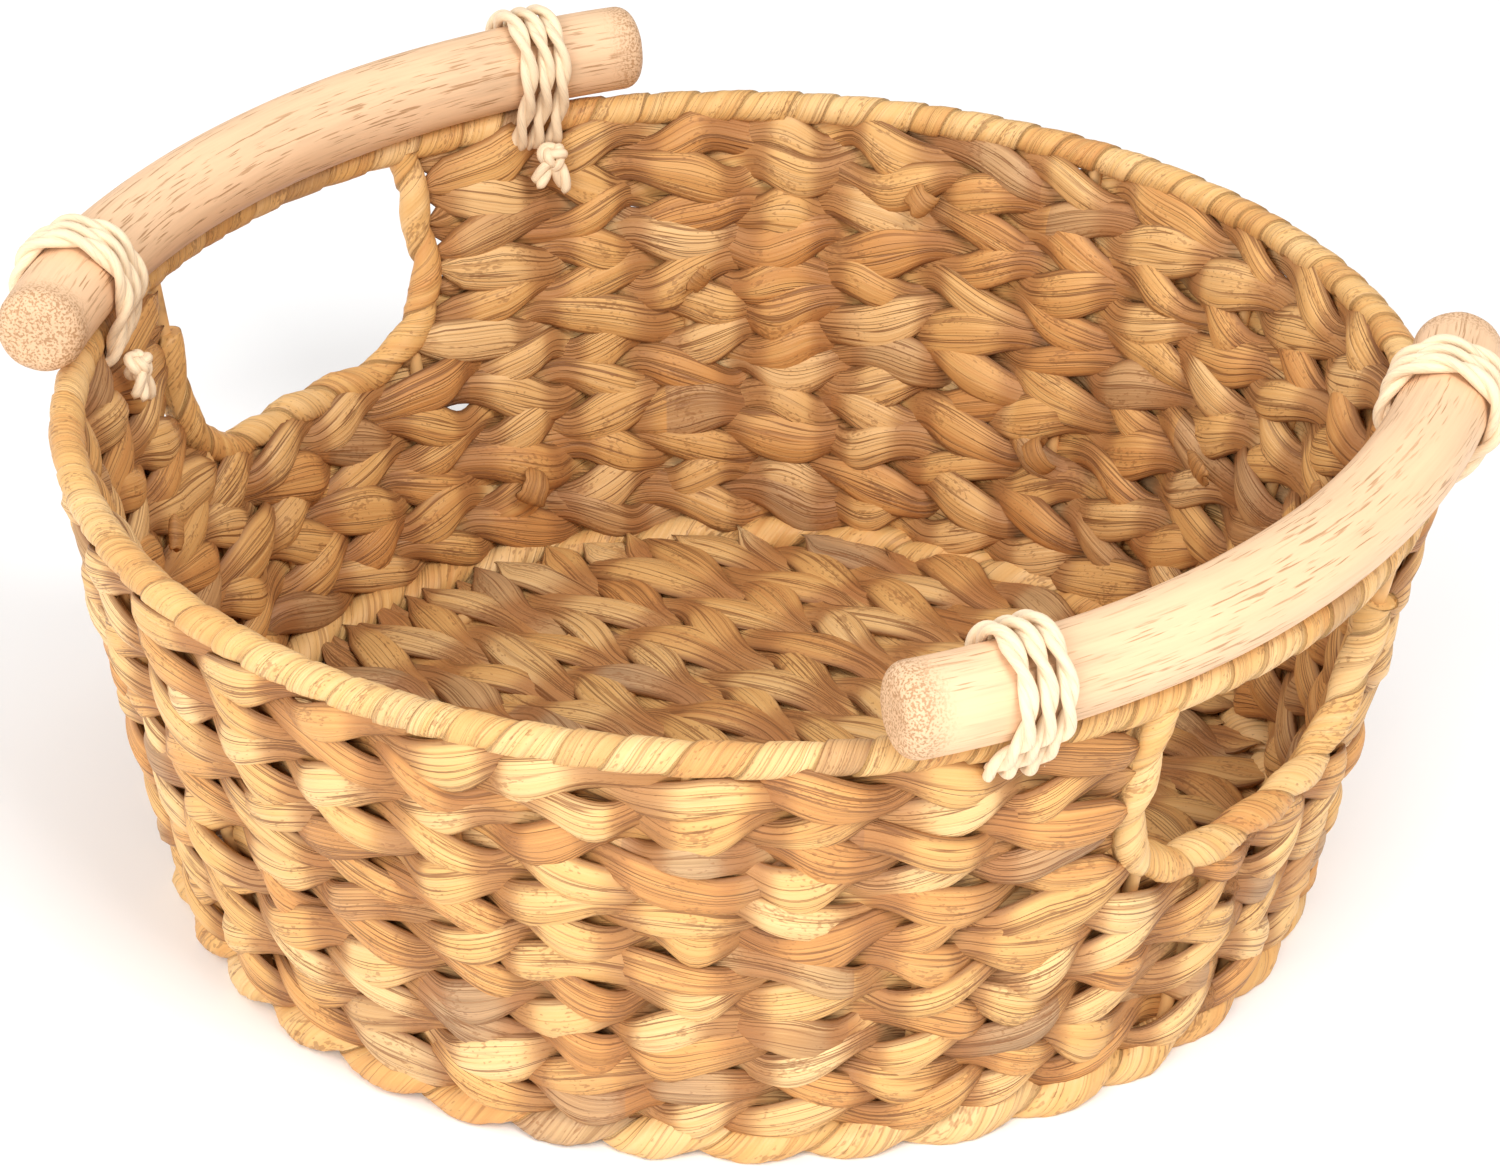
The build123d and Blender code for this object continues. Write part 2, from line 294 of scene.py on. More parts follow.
def strand_group():
    """One strand of a twisted pair round a guide line. Side 0 and side 1 are half a twist apart."""
    sockets = STRAND_SOCKETS + (("Side", NUMBER, 0.0),)
    g = Graph.group("one twined strand", "GeometryNodeTree", sockets, [("Strand", GEOMETRY)])
    guide, seed, side = (g.given[name] for name in ("Guide", "Seed", "Side"))
    size = g.node("GeometryNodeAttributeDomainSize", {"Geometry": guide}, component="MESH")
    grid, around, row, _ = g.skin(size.outputs["Point Count"], g.given["Facets"])
    place, out, up = g.station(guide, row)
    turn, lean, swell = (g.reading(guide, row, name) for name in ("turn", "lean", "swell"))

    own_seed = g.total(seed, g.product(side, SIDE_SEED))
    uneven = g.given["Unevenness"]

    def waver(number, scale, amount):
        value = g.noise(place, g.total(own_seed, number), scale)
        return g.product(g.math("SUBTRACT", value, 0.5), 2 * amount, uneven)

    leaf = g.math("FLOOR", g.total(turn, 0.5))
    angle = g.product(g.total(turn, side, waver(*TURN_WAVER)), math.pi)
    front = g.math("COSINE", angle)
    rise = g.math("SINE", angle)
    crossing = g.product(rise, rise)
    steady = g.given["Steadiness"]
    climb = g.math("DIVIDE", g.math("ARCSINE", g.product(rise, steady)), g.math("ARCSINE", steady))
    climb = g.product(climb, lean)
    roll = g.product(angle, g.given["Roll"])
    face = g.math("COSINE", roll)
    edge = g.product(g.math("SINE", roll), lean)

    section = g.product(around, 2 * math.pi)
    across = g.math("COSINE", section)
    depth = g.math("SINE", section)
    depth = g.product(depth, g.math("POWER", g.math("ABSOLUTE", depth), g.given["Sharpness"]))
    waves_across, waves_through, waves_along = FOLD_WAVES
    on_section = g.combine(g.product(across, waves_across), g.product(depth, waves_through))
    fold_place = g.vector_sum(on_section, g.scaled(place, waves_along))
    fold = g.math("SUBTRACT", g.noise(fold_place, g.total(own_seed, FOLD_NUMBER), 1.0, 1.0), 0.5)
    fold = g.product(fold, g.given["Folds"])
    narrow = g.math("SUBTRACT", 1.0, g.product(crossing, g.given["Pinch"]))
    half_width = g.product(g.given["Width"], 0.5, narrow, swell, g.total(1.0, waver(*WIDTH_WAVER)))
    half_depth = g.product(g.given["Thickness"], 0.5, swell, g.total(1.0, waver(*THICKNESS_WAVER)))
    x = g.product(half_width, across, g.total(1.0, g.product(fold, FOLD_SHARES[0])))
    y = g.product(half_depth, depth, g.total(1.0, g.product(fold, FOLD_SHARES[1])))

    far = g.total(g.product(g.given["Reach"], front), waver(*REACH_WAVER))
    high = g.total(g.product(g.given["Climb"], climb), waver(*CLIMB_WAVER))
    far = g.total(far, g.product(y, face), g.product(x, edge, -1.0))
    high = g.total(high, g.product(y, edge), g.product(x, face))
    point = g.separate(g.vector_sum(place, g.scaled(out, far), g.scaled(up, high)))
    point = g.combine(point["X"], point["Y"], g.math("MAXIMUM", point["Z"], GROUND_GAP))

    along = g.total(g.product(turn, LEAF_GRAIN[2]), g.product(own_seed, SEED_GRAIN))
    grain = g.combine(g.product(across, LEAF_GRAIN[0]), g.product(depth, LEAF_GRAIN[1]), along)
    mesh = g.store(grid, "grain", grain, "FLOAT_VECTOR")
    leaf_start = g.math("SUBTRACT", g.total(turn, 0.5), leaf)
    passing = g.span(leaf_start, TONE_PASSING, 1.0, smooth=True)

    def leaf_tone(number):
        run = g.math("FLOOR", g.product(g.total(number, g.product(own_seed, RUN_SHIFT)), RUN_SHARE))
        single = g.chance(number, own_seed, 1.0)
        return g.total(g.product(single, 0.5), g.product(g.chance(run, own_seed, 2.0), 0.5))

    def leaf_cast(number):
        return g.chance(g.math("FLOOR", g.product(number, 0.5)), own_seed, 4.0)

    for name, value in (("tone", leaf_tone), ("cast", leaf_cast)):
        here = value(leaf)
        change = g.math("SUBTRACT", value(g.total(leaf, 1.0)), here)
        mesh = g.store(mesh, name, g.math("MULTIPLY_ADD", change, passing, here))
    # Painted crevice shade where the strand dives through the wall and crosses its partner.
    mesh = g.store(mesh, "crevice_shade", crossing)
    # Edge: how near the leaf's edge a point lies, where the material paints shade.
    mesh = g.store(mesh, "edge", g.math("ABSOLUTE", across))
    # Inside: how far the strand lies on the wall's inner side, where the material paints warm shade.
    mesh = g.store(mesh, "inside", g.math("MULTIPLY_ADD", front, -0.5, 0.5))
    g.feed(g.end[0], g.node("GeometryNodeSetPosition", {"Geometry": mesh, "Position": point}).outputs[0])
    return g.tree


def twined_pair_tree():
    """Two strands twisted round each other along a guide line, one in front of each stake."""
    sockets = STRAND_SOCKETS + (("Material", "NodeSocketMaterial", None),)
    g = Graph.group("twined pair", "GeometryNodeTree", sockets, [("Pair", GEOMETRY)])
    strand = strand_group()
    join = g.node("GeometryNodeJoinGeometry")
    for side in (0.0, 1.0):
        values = {name: g.given[name] for name, _, _ in STRAND_SOCKETS}
        node = g.node("GeometryNodeGroup", node_tree=strand)
        for name, value in {**values, "Side": side}.items():
            g.feed(node.inputs[name], value)
        g.tree.links.new(node.outputs[0], join.inputs[0])
    g.finish_mesh(join.outputs[0], g.given["Material"])
    return g.tree


BINDING_SOCKETS = (
    ("Guide", GEOMETRY, None),
    ("Facets", "NodeSocketInt", 16),
    ("Closed", NUMBER, 1.0),
    ("Radius", NUMBER, 4 * MM),
    ("Step", NUMBER, 0.6 * MM),
    ("Crown", NUMBER, 0.5 * MM),
    ("Folds", NUMBER, 0.3 * MM),
    ("Unevenness", NUMBER, 0.1),
    ("Seed", NUMBER, 0.0),
    ("Material", "NodeSocketMaterial", None),
)

BINDING_FOLD_WAVES = (7.0, 30.0)            # across a winding, and in a metre along the edge
FAT_NUMBER, FAT_WAVES = 8.0, 45.0
WINDING_GRAIN = (13 * MM, 7 * MM, 27 * MM)  # a winding's width, winding to winding, and once round
# How narrow and how dark the painted shade in the seams between windings is.
SEAM_SHARPNESS, SEAM_SHADE = 12.0, 0.7


def binding_tree():
    """A flat stem wound round a guide line. A winding is as many stations as the skin has facets."""
    g = Graph.group("wound binding", "GeometryNodeTree", BINDING_SOCKETS, [("Binding", GEOMETRY)])
    guide, facets, closed, seed = (g.given[name] for name in ("Guide", "Facets", "Closed", "Seed"))
    size = g.node("GeometryNodeAttributeDomainSize", {"Geometry": guide}, component="MESH")
    count = size.outputs["Point Count"]
    rows = g.total(count, closed)
    grid, around, row, facet = g.skin(rows, facets)
    station = g.total(row, facet)
    last = g.math("SUBTRACT", count, 1)
    looped = g.math("FLOORED_MODULO", station, count)
    held = g.math("MINIMUM", g.math("MAXIMUM", station, facets), last)
    index = g.total(g.product(looped, closed), g.product(held, g.math("SUBTRACT", 1.0, closed)))
    place, out, up = g.station(guide, index)
    swell = g.reading(guide, g.math("FLOORED_MODULO", row, count), "swell")

    winding = g.math("DIVIDE", g.total(g.math("FLOORED_MODULO", row, count), 0.01), facets)
    number = g.math("FLOOR", winding)
    across = g.math("FRACT", winding)
    section = g.total(g.product(around, 2 * math.pi), -math.pi / 2)
    side = g.math("COSINE", section)
    height = g.math("SINE", section)
    crown = g.product(g.given["Crown"], g.math("SINE", g.product(across, math.pi)))
    step = g.product(g.given["Step"], g.math("SUBTRACT", 1.0, across))
    waves_across, waves_along = BINDING_FOLD_WAVES
    on_section = g.combine(side, height, g.product(across, waves_across))
    fold_place = g.vector_sum(on_section, g.scaled(place, waves_along))
    fold = g.math("SUBTRACT", g.noise(fold_place, seed, 1.0, 1.0), 0.5)
    fold = g.product(fold, g.given["Folds"], 2.0)
    fat = g.math("SUBTRACT", g.noise(place, g.total(seed, FAT_NUMBER), FAT_WAVES), 0.5)
    fat = g.product(fat, g.given["Unevenness"], 2.0)
    reach = g.product(g.total(g.product(g.given["Radius"], g.total(1.0, fat)), crown, step, fold), swell)
    spoke = g.vector_sum(g.scaled(out, side), g.scaled(up, height))
    point = g.separate(g.vector_sum(place, g.scaled(spoke, reach)))
    point = g.combine(point["X"], point["Y"], g.math("MAXIMUM", point["Z"], 0.0))

    length = g.total(number, around)
    stretched = (g.product(part, size) for part, size in zip((across, number, length), WINDING_GRAIN))
    grain = g.combine(*stretched)
    mesh = g.store(grid, "grain", grain, "FLOAT_VECTOR")
    mesh = g.store(mesh, "tone", g.math("MULTIPLY_ADD", g.chance(number, seed, 3.0), 0.5, 0.2))
    mesh = g.store(mesh, "cast", g.chance(number, seed, 5.0))
    edge = g.math("ABSOLUTE", g.math("MULTIPLY_ADD", across, 2.0, -1.0))
    # Painted shade in the seams between windings.
    mesh = g.store(mesh, "crevice_shade", g.product(g.math("POWER", edge, SEAM_SHARPNESS), SEAM_SHADE))
    mesh = g.node("GeometryNodeSetPosition", {"Geometry": mesh, "Position": point}).outputs[0]
    g.finish_mesh(mesh, g.given["Material"])
    return g.tree


# Guide lines

GUIDE_SEED = 0.37         # sets the chances of a piece's guide lines apart


class Guide:
    """A line of stations. Each has a place, two directions across the line, and three numbers."""

    def __init__(self):
        self.places = []
        self.values = {name: [] for name in ("outward", "upward", "turn", "lean", "swell")}

    def add(self, place, outward, upward, turn=0.0, lean=1.0, swell=1.0):
        self.places.append(place)
        for name, value in zip(self.values, (outward, upward, turn, lean, swell)):
            self.values[name].append(value)

    def mesh(self, name):
        mesh = bpy.data.meshes.new(name)
        edges = [(index, index + 1) for index in range(len(self.places) - 1)]
        mesh.from_pydata(self.places, edges, [])
        for key, values in self.values.items():
            is_vector = key in ("outward", "upward")
            layer = mesh.attributes.new(key, "FLOAT_VECTOR" if is_vector else "FLOAT", "POINT")
            flat = [part for value in values for part in value] if is_vector else values
            layer.data.foreach_set("vector" if is_vector else "value", flat)
        return mesh


def grow(name, tree, guides, inputs):
    """Runs a tree on each guide line and joins what it makes into one plain mesh object."""
    piece = None
    for number, guide in enumerate(guides):
        grown = bpy.data.objects.new(name, guide.mesh(name))
        bpy.context.scene.collection.objects.link(grown)
        modifier = grown.modifiers.new(tree.name, "NODES")
        modifier.node_group = tree
        for socket in tree.interface.items_tree:
            if socket.in_out == "INPUT" and socket.name in inputs:
                value = inputs[socket.name]
                if socket.name == "Seed":
                    value = value + GUIDE_SEED * number
                modifier[socket.identifier] = value
        bpy.context.view_layer.update()
        depsgraph = bpy.context.evaluated_depsgraph_get()
        made = bpy.data.meshes.new_from_object(
            grown.evaluated_get(depsgraph), preserve_all_data_layers=True, depsgraph=depsgraph)
        grown.modifiers.clear()
        grown.data = made
        piece = grown if piece is None else joined(piece, grown)
    piece.data.name = name
    return piece


def joined(first, second):
    with bpy.context.temp_override(
            active_object=first, object=first, selected_objects=[first, second],
            selected_editable_objects=[first, second]):
        bpy.ops.object.join()
    return first


def declare(piece, slot, *nodes):
    """Hangs a finished piece on the root and hides the CAD nodes that it stands for. Its slot is not used."""
    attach(piece, "root")
    if nodes:
        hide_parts(*nodes)


def radial(azimuth):
    return Vector((math.cos(azimuth), math.sin(azimuth), 0))


def wall_radius(height):
    return BASE_RADIUS + WALL_SLOPE * (height - BASE_HEIGHT)


def wall_directions(azimuth):
    """Outwards and upwards on the leaning wall."""
    level = radial(azimuth)
    outward = level * math.cos(WALL_UP) - UP * math.sin(WALL_UP)
    upward = level * math.sin(WALL_UP) + UP * math.cos(WALL_UP)
    return outward, upward


def flipped(vector, mirror_x, mirror_y):
    return Vector((vector.x * mirror_x, vector.y * mirror_y, vector.z))


def smooth_step(value):
    value = min(max(value, 0.0), 1.0)
    return value * value * (3 - 2 * value)


# Materials
#
# A noise's first number only sets it apart from the others. Its second is its scale.

def fibre_group():
    """Fine fibres that run along the grain coordinates' third axis."""
    sockets = [("Grain", "NodeSocketVector", None), ("Fineness", NUMBER, 900.0),
               ("Length", NUMBER, 14.0)]
    g = Graph.group("fibre grain", "ShaderNodeTree", sockets,
                    [("Streaks", NUMBER), ("Creases", NUMBER),
                     ("Height", NUMBER)])
    fine = g.given["Fineness"]
    stretch = g.combine(fine, fine, g.math("DIVIDE", fine, g.given["Length"]))
    place = g.vector("MULTIPLY", g.given["Grain"], stretch)
    broad = g.noise(place, 1.0, 0.45, 2.0)
    narrow = g.noise(place, 2.0, 1.6, 3.0)
    crease = g.math("ABSOLUTE", g.math("SUBTRACT", g.noise(place, 3.0, 0.8, 0.6), 0.5))
    strength = g.span(g.noise(place, 4.0, 0.3), 0.3, 0.55)
    g.feed(g.end["Creases"], g.product(g.span(crease, 0.05, 0.005, smooth=True), strength))
    g.feed(g.end["Streaks"], g.span(g.total(g.product(broad, 0.6), g.product(narrow, 0.4)), 0.33, 0.67))
    g.feed(g.end["Height"], g.total(g.product(broad, 0.55), g.product(narrow, 0.45)))
    return g.tree


def speck_group():
    """Small dark specks, a little longer than wide."""
    sockets = [("Grain", "NodeSocketVector", None), ("Density", NUMBER, 420.0),
               ("Amount", NUMBER, 0.7)]
    g = Graph.group("dark specks", "ShaderNodeTree", sockets, [("Mask", NUMBER)])
    density = g.given["Density"]
    place = g.vector("MULTIPLY", g.given["Grain"], g.combine(density, density, g.product(density, 0.45)))
    spot = g.noise(place, 5.0, 1.0, 1.0)
    clump = g.noise(place, 6.0, 0.16, 0.0)
    limit = g.math("SUBTRACT", 1.02, g.product(g.given["Amount"], g.total(clump, 0.1)))
    g.feed(g.end[0], g.span(g.math("SUBTRACT", spot, limit), -0.03, 0.06, smooth=True))
    return g.tree


def patch_group():
    """Broad uneven patches, such as dust, handling and sun leave."""
    sockets = [("Size", NUMBER, 0.06)]
    g = Graph.group("uneven patches", "ShaderNodeTree", sockets, [("Mask", NUMBER)])
    place = g.node("ShaderNodeTexCoord").outputs["Object"]
    cloud = g.noise(place, 9.0, g.math("DIVIDE", 1.0, g.given["Size"]), 2.0)
    g.feed(g.end[0], g.span(cloud, 0.34, 0.66))
    return g.tree


class Finish(Graph):
    """A material being built round one Principled shader."""

    def __init__(self, name):
        self.material = bpy.data.materials.new(name)
        self.material.use_nodes = True
        super().__init__(self.material.node_tree)
        self.shader = self.tree.nodes["Principled BSDF"].inputs
        self.colours = bpy.context.scene.basket_colours

    def attribute(self, name, output="Fac"):
        return self.node("ShaderNodeAttribute", attribute_name=name).outputs[output]

    def effect(self, name, build, **values):
        """A shader group's outputs. The group is built when it is first needed."""
        node = self.node("ShaderNodeGroup", node_tree=bpy.data.node_groups.get(name) or build())
        for key, value in values.items():
            self.feed(node.inputs[key], value)
        return node.outputs

    def bump(self, height, strength, distance):
        values = {"Strength": strength, "Distance": distance, "Height": height}
        self.feed(self.shader["Normal"], self.node("ShaderNodeBump", values).outputs[0])

    def ramp(self, factor, stops):
        node = self.node("ShaderNodeValToRGB", {"Fac": factor})
        elements = node.color_ramp.elements
        while len(elements) < len(stops):
            elements.new(0.5)
        for element, (position, value) in zip(elements, stops):
            element.position = position
            element.color = value
        return node.outputs[0]


def shade(value, factor):
    """A colour made lighter or darker."""
    return (*(min(part * factor, 1.0) for part in value[:3]), 1.0)


# Shares of a stem's tone that come from the stem itself, its fibres and its patches, and their shift
STEM_TONE, STEM_STREAKS, STEM_PATCHES, STEM_SHIFT = 0.78, 0.3, 0.14, -0.1
# How much of each darker colour a stem takes at most: painted crevice shade, painted warm shade on its inner
# face, painted shade at its leaf edges, and its own dark specks
CREVICE_SHADE_SHARE, INSIDE_SHADE_SHARE, EDGE_SHADE_SHARE, SPECK_SHARE = 0.78, 0.26, 0.85, 0.5
TUCKED_LINES = 0.3        # how much more a stem is lined where it is tucked in


def stem_tone(f, depth, streaks, patches):
    """The stems' own colour, from pale straw to brown. A greater depth is darker."""
    c = f.colours
    value = f.total(f.product(f.attribute("tone"), STEM_TONE), f.product(streaks, STEM_STREAKS),
                    f.product(patches, STEM_PATCHES), STEM_SHIFT)
    return f.ramp(value, [
        (0.12, shade(c.straw, 1.0 - 0.28 * depth)),
        (0.5, shade(c.gold, 1.0 - 0.2 * depth)),
        (0.78, shade(c.amber, 1.25 - 0.3 * depth)),
        (1.0, shade(c.amber, 0.85 - 0.25 * depth)),
    ])


def stem_finish(name, depth, grey_share, gloss, lines):
    """Dried hyacinth stems. Depth 0 is the pale wall and 1 the darkest floor."""
    existing = bpy.data.materials.get(name)
    if existing:
        return existing
    f = Finish(name)
    c = f.colours
    grain = f.attribute("grain", "Vector")
    fibres = f.effect("fibre grain", fibre_group, Grain=grain, Fineness=1400.0, Length=60.0)
    specks = f.effect("dark specks", speck_group, Grain=grain, Density=1500.0, Amount=0.6)["Mask"]
    patches = f.effect("uneven patches", patch_group, Size=0.05)["Mask"]
    base = stem_tone(f, depth, fibres["Streaks"], patches)
    grey = f.span(f.attribute("cast"), 1.0 - grey_share, 1.02 - grey_share)
    ashen = f.ramp(fibres["Streaks"], [(0.0, shade(c.ash, 1.25)), (1.0, shade(c.ash, 0.6))])
    base = f.mixed(f.product(grey, f.span(patches, 0.0, 0.7, 0.45, 0.9)), base, ashen)
    # Painted warm shade on the strands' inner faces and on the floor's underside.
    base = f.mixed(f.product(f.attribute("inside"), INSIDE_SHADE_SHARE), base, shade(c.amber, 0.95))
    # Painted crevice shade where strands cross behind the stakes and in the bindings' seams.
    crevice_shade = f.span(f.attribute("crevice_shade"), 0.3, 1.0, 0.0, CREVICE_SHADE_SHARE, smooth=True)
    base = f.mixed(crevice_shade, base, shade(c.umber, 1.8))
    creases = f.product(fibres["Creases"], f.total(lines, f.product(crevice_shade, TUCKED_LINES)))
    base = f.mixed(creases, base, shade(c.umber, 1.2))
    # Darker leaf edges: mostly painted shade where leaves overlap, partly the folded edges' own colour.
    edge = f.span(f.attribute("edge"), 0.74, 1.0, 0.0, EDGE_SHADE_SHARE, smooth=True)
    base = f.mixed(edge, base, shade(c.umber, 1.2))
    base = f.mixed(f.product(specks, SPECK_SHARE), base, shade(c.umber, 1.3))
    f.feed(f.shader["Base Color"], base)
    f.feed(f.shader["Roughness"], f.span(fibres["Streaks"], 0.0, 1.0, gloss, gloss + 0.16))
    f.shader["Specular IOR Level"].default_value = 0.35
    f.bump(f.math("SUBTRACT", fibres["Height"], f.product(creases, 0.35)), strength=0.8, distance=0.9 * MM)
    return f.material


DASH_WAVES = (1500.0, 1500.0, 90.0)     # in a metre across, through and along the pole
CLUMP_WAVES = (160.0, 160.0, 20.0)
STIPPLE_WAVES = 1500.0
DASH_SHARE, STIPPLE_SHARE = 0.7, 0.75   # how much of the pores' colour they take


def rattan_finish():
    """Pale scraped rattan, with dark pores in dashes along it and in dots on its ends."""
    f = Finish("scraped rattan")
    c = f.colours
    grain = f.attribute("grain", "Vector")
    end = f.attribute("end")
    fibres = f.effect("fibre grain", fibre_group, Grain=grain, Fineness=900.0, Length=22.0)
    patches = f.effect("uneven patches", patch_group, Size=0.05)["Mask"]
    dash_place = f.vector("MULTIPLY", grain, f.combine(*DASH_WAVES))
    dashes = f.span(f.noise(dash_place, 4.0, 1.0, 1.5), 0.56, 0.66, smooth=True)
    clumps = f.noise(f.vector("MULTIPLY", grain, f.combine(*CLUMP_WAVES)), 7.0)
    dashes = f.product(dashes, f.span(clumps, 0.3, 0.55))
    body = f.ramp(f.total(f.product(fibres["Streaks"], 0.55), f.product(patches, 0.45)),
                  [(0.0, shade(c.rattan, 1.12)), (0.5, c.rattan), (1.0, shade(c.rattan, 0.74))])
    body = f.mixed(f.product(dashes, DASH_SHARE), body, c.pore)
    dots = f.noise(f.node("ShaderNodeTexCoord").outputs["Object"], 3.0, STIPPLE_WAVES, 1.0)
    stipple = f.span(dots, 0.45, 0.62, smooth=True)
    face = f.mixed(f.product(stipple, STIPPLE_SHARE), shade(c.rattan, 0.9), c.pore)
    f.feed(f.shader["Base Color"], f.mixed(end, body, face))
    f.feed(f.shader["Roughness"], f.span(fibres["Streaks"], 0.0, 1.0, 0.42, 0.6))
    f.shader["Specular IOR Level"].default_value = 0.4
    pits = f.total(f.product(dashes, -0.5), f.product(fibres["Height"], 0.35), f.product(stipple, end, -0.5))
    f.bump(pits, strength=0.5, distance=0.5 * MM)
    return f.material


def cord_finish():
    """Pale paper cord with fibres along each ply."""
    f = Finish("paper cord")
    c = f.colours
    grain = f.attribute("grain", "Vector")
    fibres = f.effect("fibre grain", fibre_group, Grain=grain, Fineness=1300.0, Length=9.0)
    base = f.ramp(fibres["Streaks"], [(0.0, shade(c.cord, 1.05)), (0.55, c.cord), (1.0, shade(c.cord, 0.72))])
    f.feed(f.shader["Base Color"], base)
    f.feed(f.shader["Roughness"], f.span(fibres["Streaks"], 0.0, 1.0, 0.55, 0.75))
    f.shader["Sheen Weight"].default_value = 0.15
    f.bump(fibres["Height"], strength=0.7, distance=0.6 * MM)
    return f.material


def wire_finish():
    """Wire painted the colour of the stems, with darker smudges."""
    f = Finish("painted wire")
    c = f.colours
    patches = f.effect("uneven patches", patch_group, Size=0.008)["Mask"]
    base = f.ramp(patches, [(0.0, shade(c.wire, 1.3)), (0.7, c.wire), (1.0, shade(c.wire, 0.55))])
    f.feed(f.shader["Base Color"], base)
    f.feed(f.shader["Roughness"], f.span(patches, 0.0, 1.0, 0.38, 0.6))
    f.bump(patches, strength=0.25, distance=0.2 * MM)
    return f.material


def wall_finish():
    return stem_finish("twined hyacinth", depth=0.0, grey_share=0.12, gloss=0.44, lines=0.85)


def floor_finish():
    return stem_finish("floor hyacinth", depth=0.6, grey_share=0.12, gloss=0.5, lines=0.8)


def binding_finish():
    return stem_finish("wound hyacinth", depth=0.15, grey_share=0.06, gloss=0.4, lines=0.45)


def cut_end_finish():
    return stem_finish("cut stem end", depth=1.0, grey_share=0.05, gloss=0.5, lines=0.6)


# Wall

STEPS = 14            # stations from one stake to the next
SLANT_TURN = 0.5      # stakes that it takes a row's slant to turn round
SLANT_SHIFT = 1.6     # stakes over which the rows' turning places are spread
GOLDEN_SHARE = 0.618  # spreads a run of numbers evenly
END_ROOM = 0.45       # stakes from a hand hole's wire to the nearest stake that a row still goes round
END_SWELL = 0.22      # stakes over which a row's cut end swells to its full size


def stake_turn(azimuth):
    """Azimuth counted in stakes: a whole number on each stake, starting from the first stake."""
    return azimuth * bpy.context.scene.basket_sizes.stakes / (2 * math.pi) - 0.5


def stake_azimuth(turn):
    return (turn + 0.5) * 2 * math.pi / bpy.context.scene.basket_sizes.stakes


def slant(turn, row):
    """Which way a row's strands slant. It turns round near one stake and near the stake opposite."""
    sizes = bpy.context.scene.basket_sizes
    shift = SLANT_SHIFT * ((row * GOLDEN_SHARE) % 1 - 0.5)
    line = stake_turn(sizes.turning_azimuth) + shift
    half = sizes.stakes / 2
    from_line = (turn - line + half / 2) % sizes.stakes - half / 2
    from_either = from_line if from_line < half / 2 else half - from_line
    near = min(max(from_either / SLANT_TURN, -1.0), 1.0)
    return near if row % 2 else -near


def hole_half_width(height):
    """Half width of the hand hole at a height, to the middle of its wire. None below the hole."""
    corner = bpy.context.scene.basket_sizes.hole_corner
    if height <= HOLE_BOTTOM:
        return None
    if height >= HOLE_BOTTOM + corner:
        return HOLE_HALF
    drop = HOLE_BOTTOM + corner - height
    return HOLE_HALF - corner + math.sqrt(corner ** 2 - drop ** 2)


def wall_station(guide, azimuth, height, turn, row, swell=1.0):
    outward, upward = wall_directions(azimuth)
    place = radial(azimuth) * wall_radius(height) + UP * height
    guide.add(place, outward, upward, turn, slant(turn, row), swell)


def whole_row(height, row):
    guide = Guide()
    count = bpy.context.scene.basket_sizes.stakes * STEPS
    for index in range(count + 1):
        turn = index / STEPS - 0.5
        wall_station(guide, stake_azimuth(turn), height, turn, row)
    return guide


def half_row(height, row, start):
    """A row between the two hand holes. Its strands end where they turn round the holes' wires."""
    guide = Guide()
    edge = math.asin(hole_half_width(height) / wall_radius(height))
    first = math.ceil(stake_turn(edge) + END_ROOM)
    last = bpy.context.scene.basket_sizes.stakes / 2 - 1 - first
    shift = stake_turn(start) + 0.5
    reach = first - stake_turn(edge)
    count = round((last - first + 1) * STEPS)
    for index in range(count + 1):
        turn = first - 0.5 + index / STEPS
        inside = turn
        if turn < first:
            inside = first - (first - turn) * 2 * reach
        elif turn > last:
            inside = last + (turn - last) * 2 * reach
        swell = smooth_step(min(index, count - index) / (STEPS * END_SWELL))
        wall_station(guide, stake_azimuth(inside + shift), height, turn + shift, row, swell)
    return guide


def row_nodes(name):
    """A wall row's CAD nodes: one ring, or a back and a front half."""
    return [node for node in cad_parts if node.startswith(name)]


def row_height(name):
    """Middle height of a wall row."""
    boxes = [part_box(node) for node in row_nodes(name)]
    return (min(low.z for low, _ in boxes) + max(high.z for _, high in boxes)) / 2


class BASKET_OT_twine_wall(bpy.types.Operator):
    """Twine the wall's rows round the upright wires"""
    bl_idname = "basket.twine_wall"
    bl_label = "Twine the wall"

    def execute(self, context):
        sizes = context.scene.basket_sizes
        tree = twined_pair_tree()
        look = {
            "Width": sizes.strand_width,
            "Thickness": sizes.strand_thickness,
            "Reach": sizes.strand_reach,
            "Climb": sizes.strand_climb,
            "Material": wall_finish(),
        }
        for row, name in enumerate(WALL_ROWS):
            nodes = row_nodes(name)
            height = row_height(name)
            if len(nodes) == 1:
                guides = {nodes[0]: whole_row(height, row)}
            else:
                guides = {name + "_back": half_row(height, row, 0.0),
                          name + "_front": half_row(height, row, math.pi)}
            for number, (node, guide) in enumerate(guides.items()):
                seed = 10.0 * row + 3.0 * number
                piece = grow("twined_" + node.removeprefix("wall_"), tree, [guide], {**look, "Seed": seed})
                declare(piece, "twined_hyacinth", node)
        return {"FINISHED"}


# Floor

FLOOR_LOOK = {
    "Width": 15.5 * MM,
    "Thickness": 4.6 * MM,
    "Reach": 2.3 * MM,
    "Climb": 4.0 * MM,
    "Unevenness": 0.8,
}
FLOOR_ROWS = {0.25: -1, 0.75: 1}      # place of each row across its braid, and the way that it slants
FLOOR_OVERLAP = 4.5 * MM              # how far the braids reach over the foot's binding
FLOOR_LIFT = 3.0 * MM                 # how far their ends rise to do so
FLOOR_LIFT_RUN = 9 * MM
FLOOR_END_SWELL = 0.3


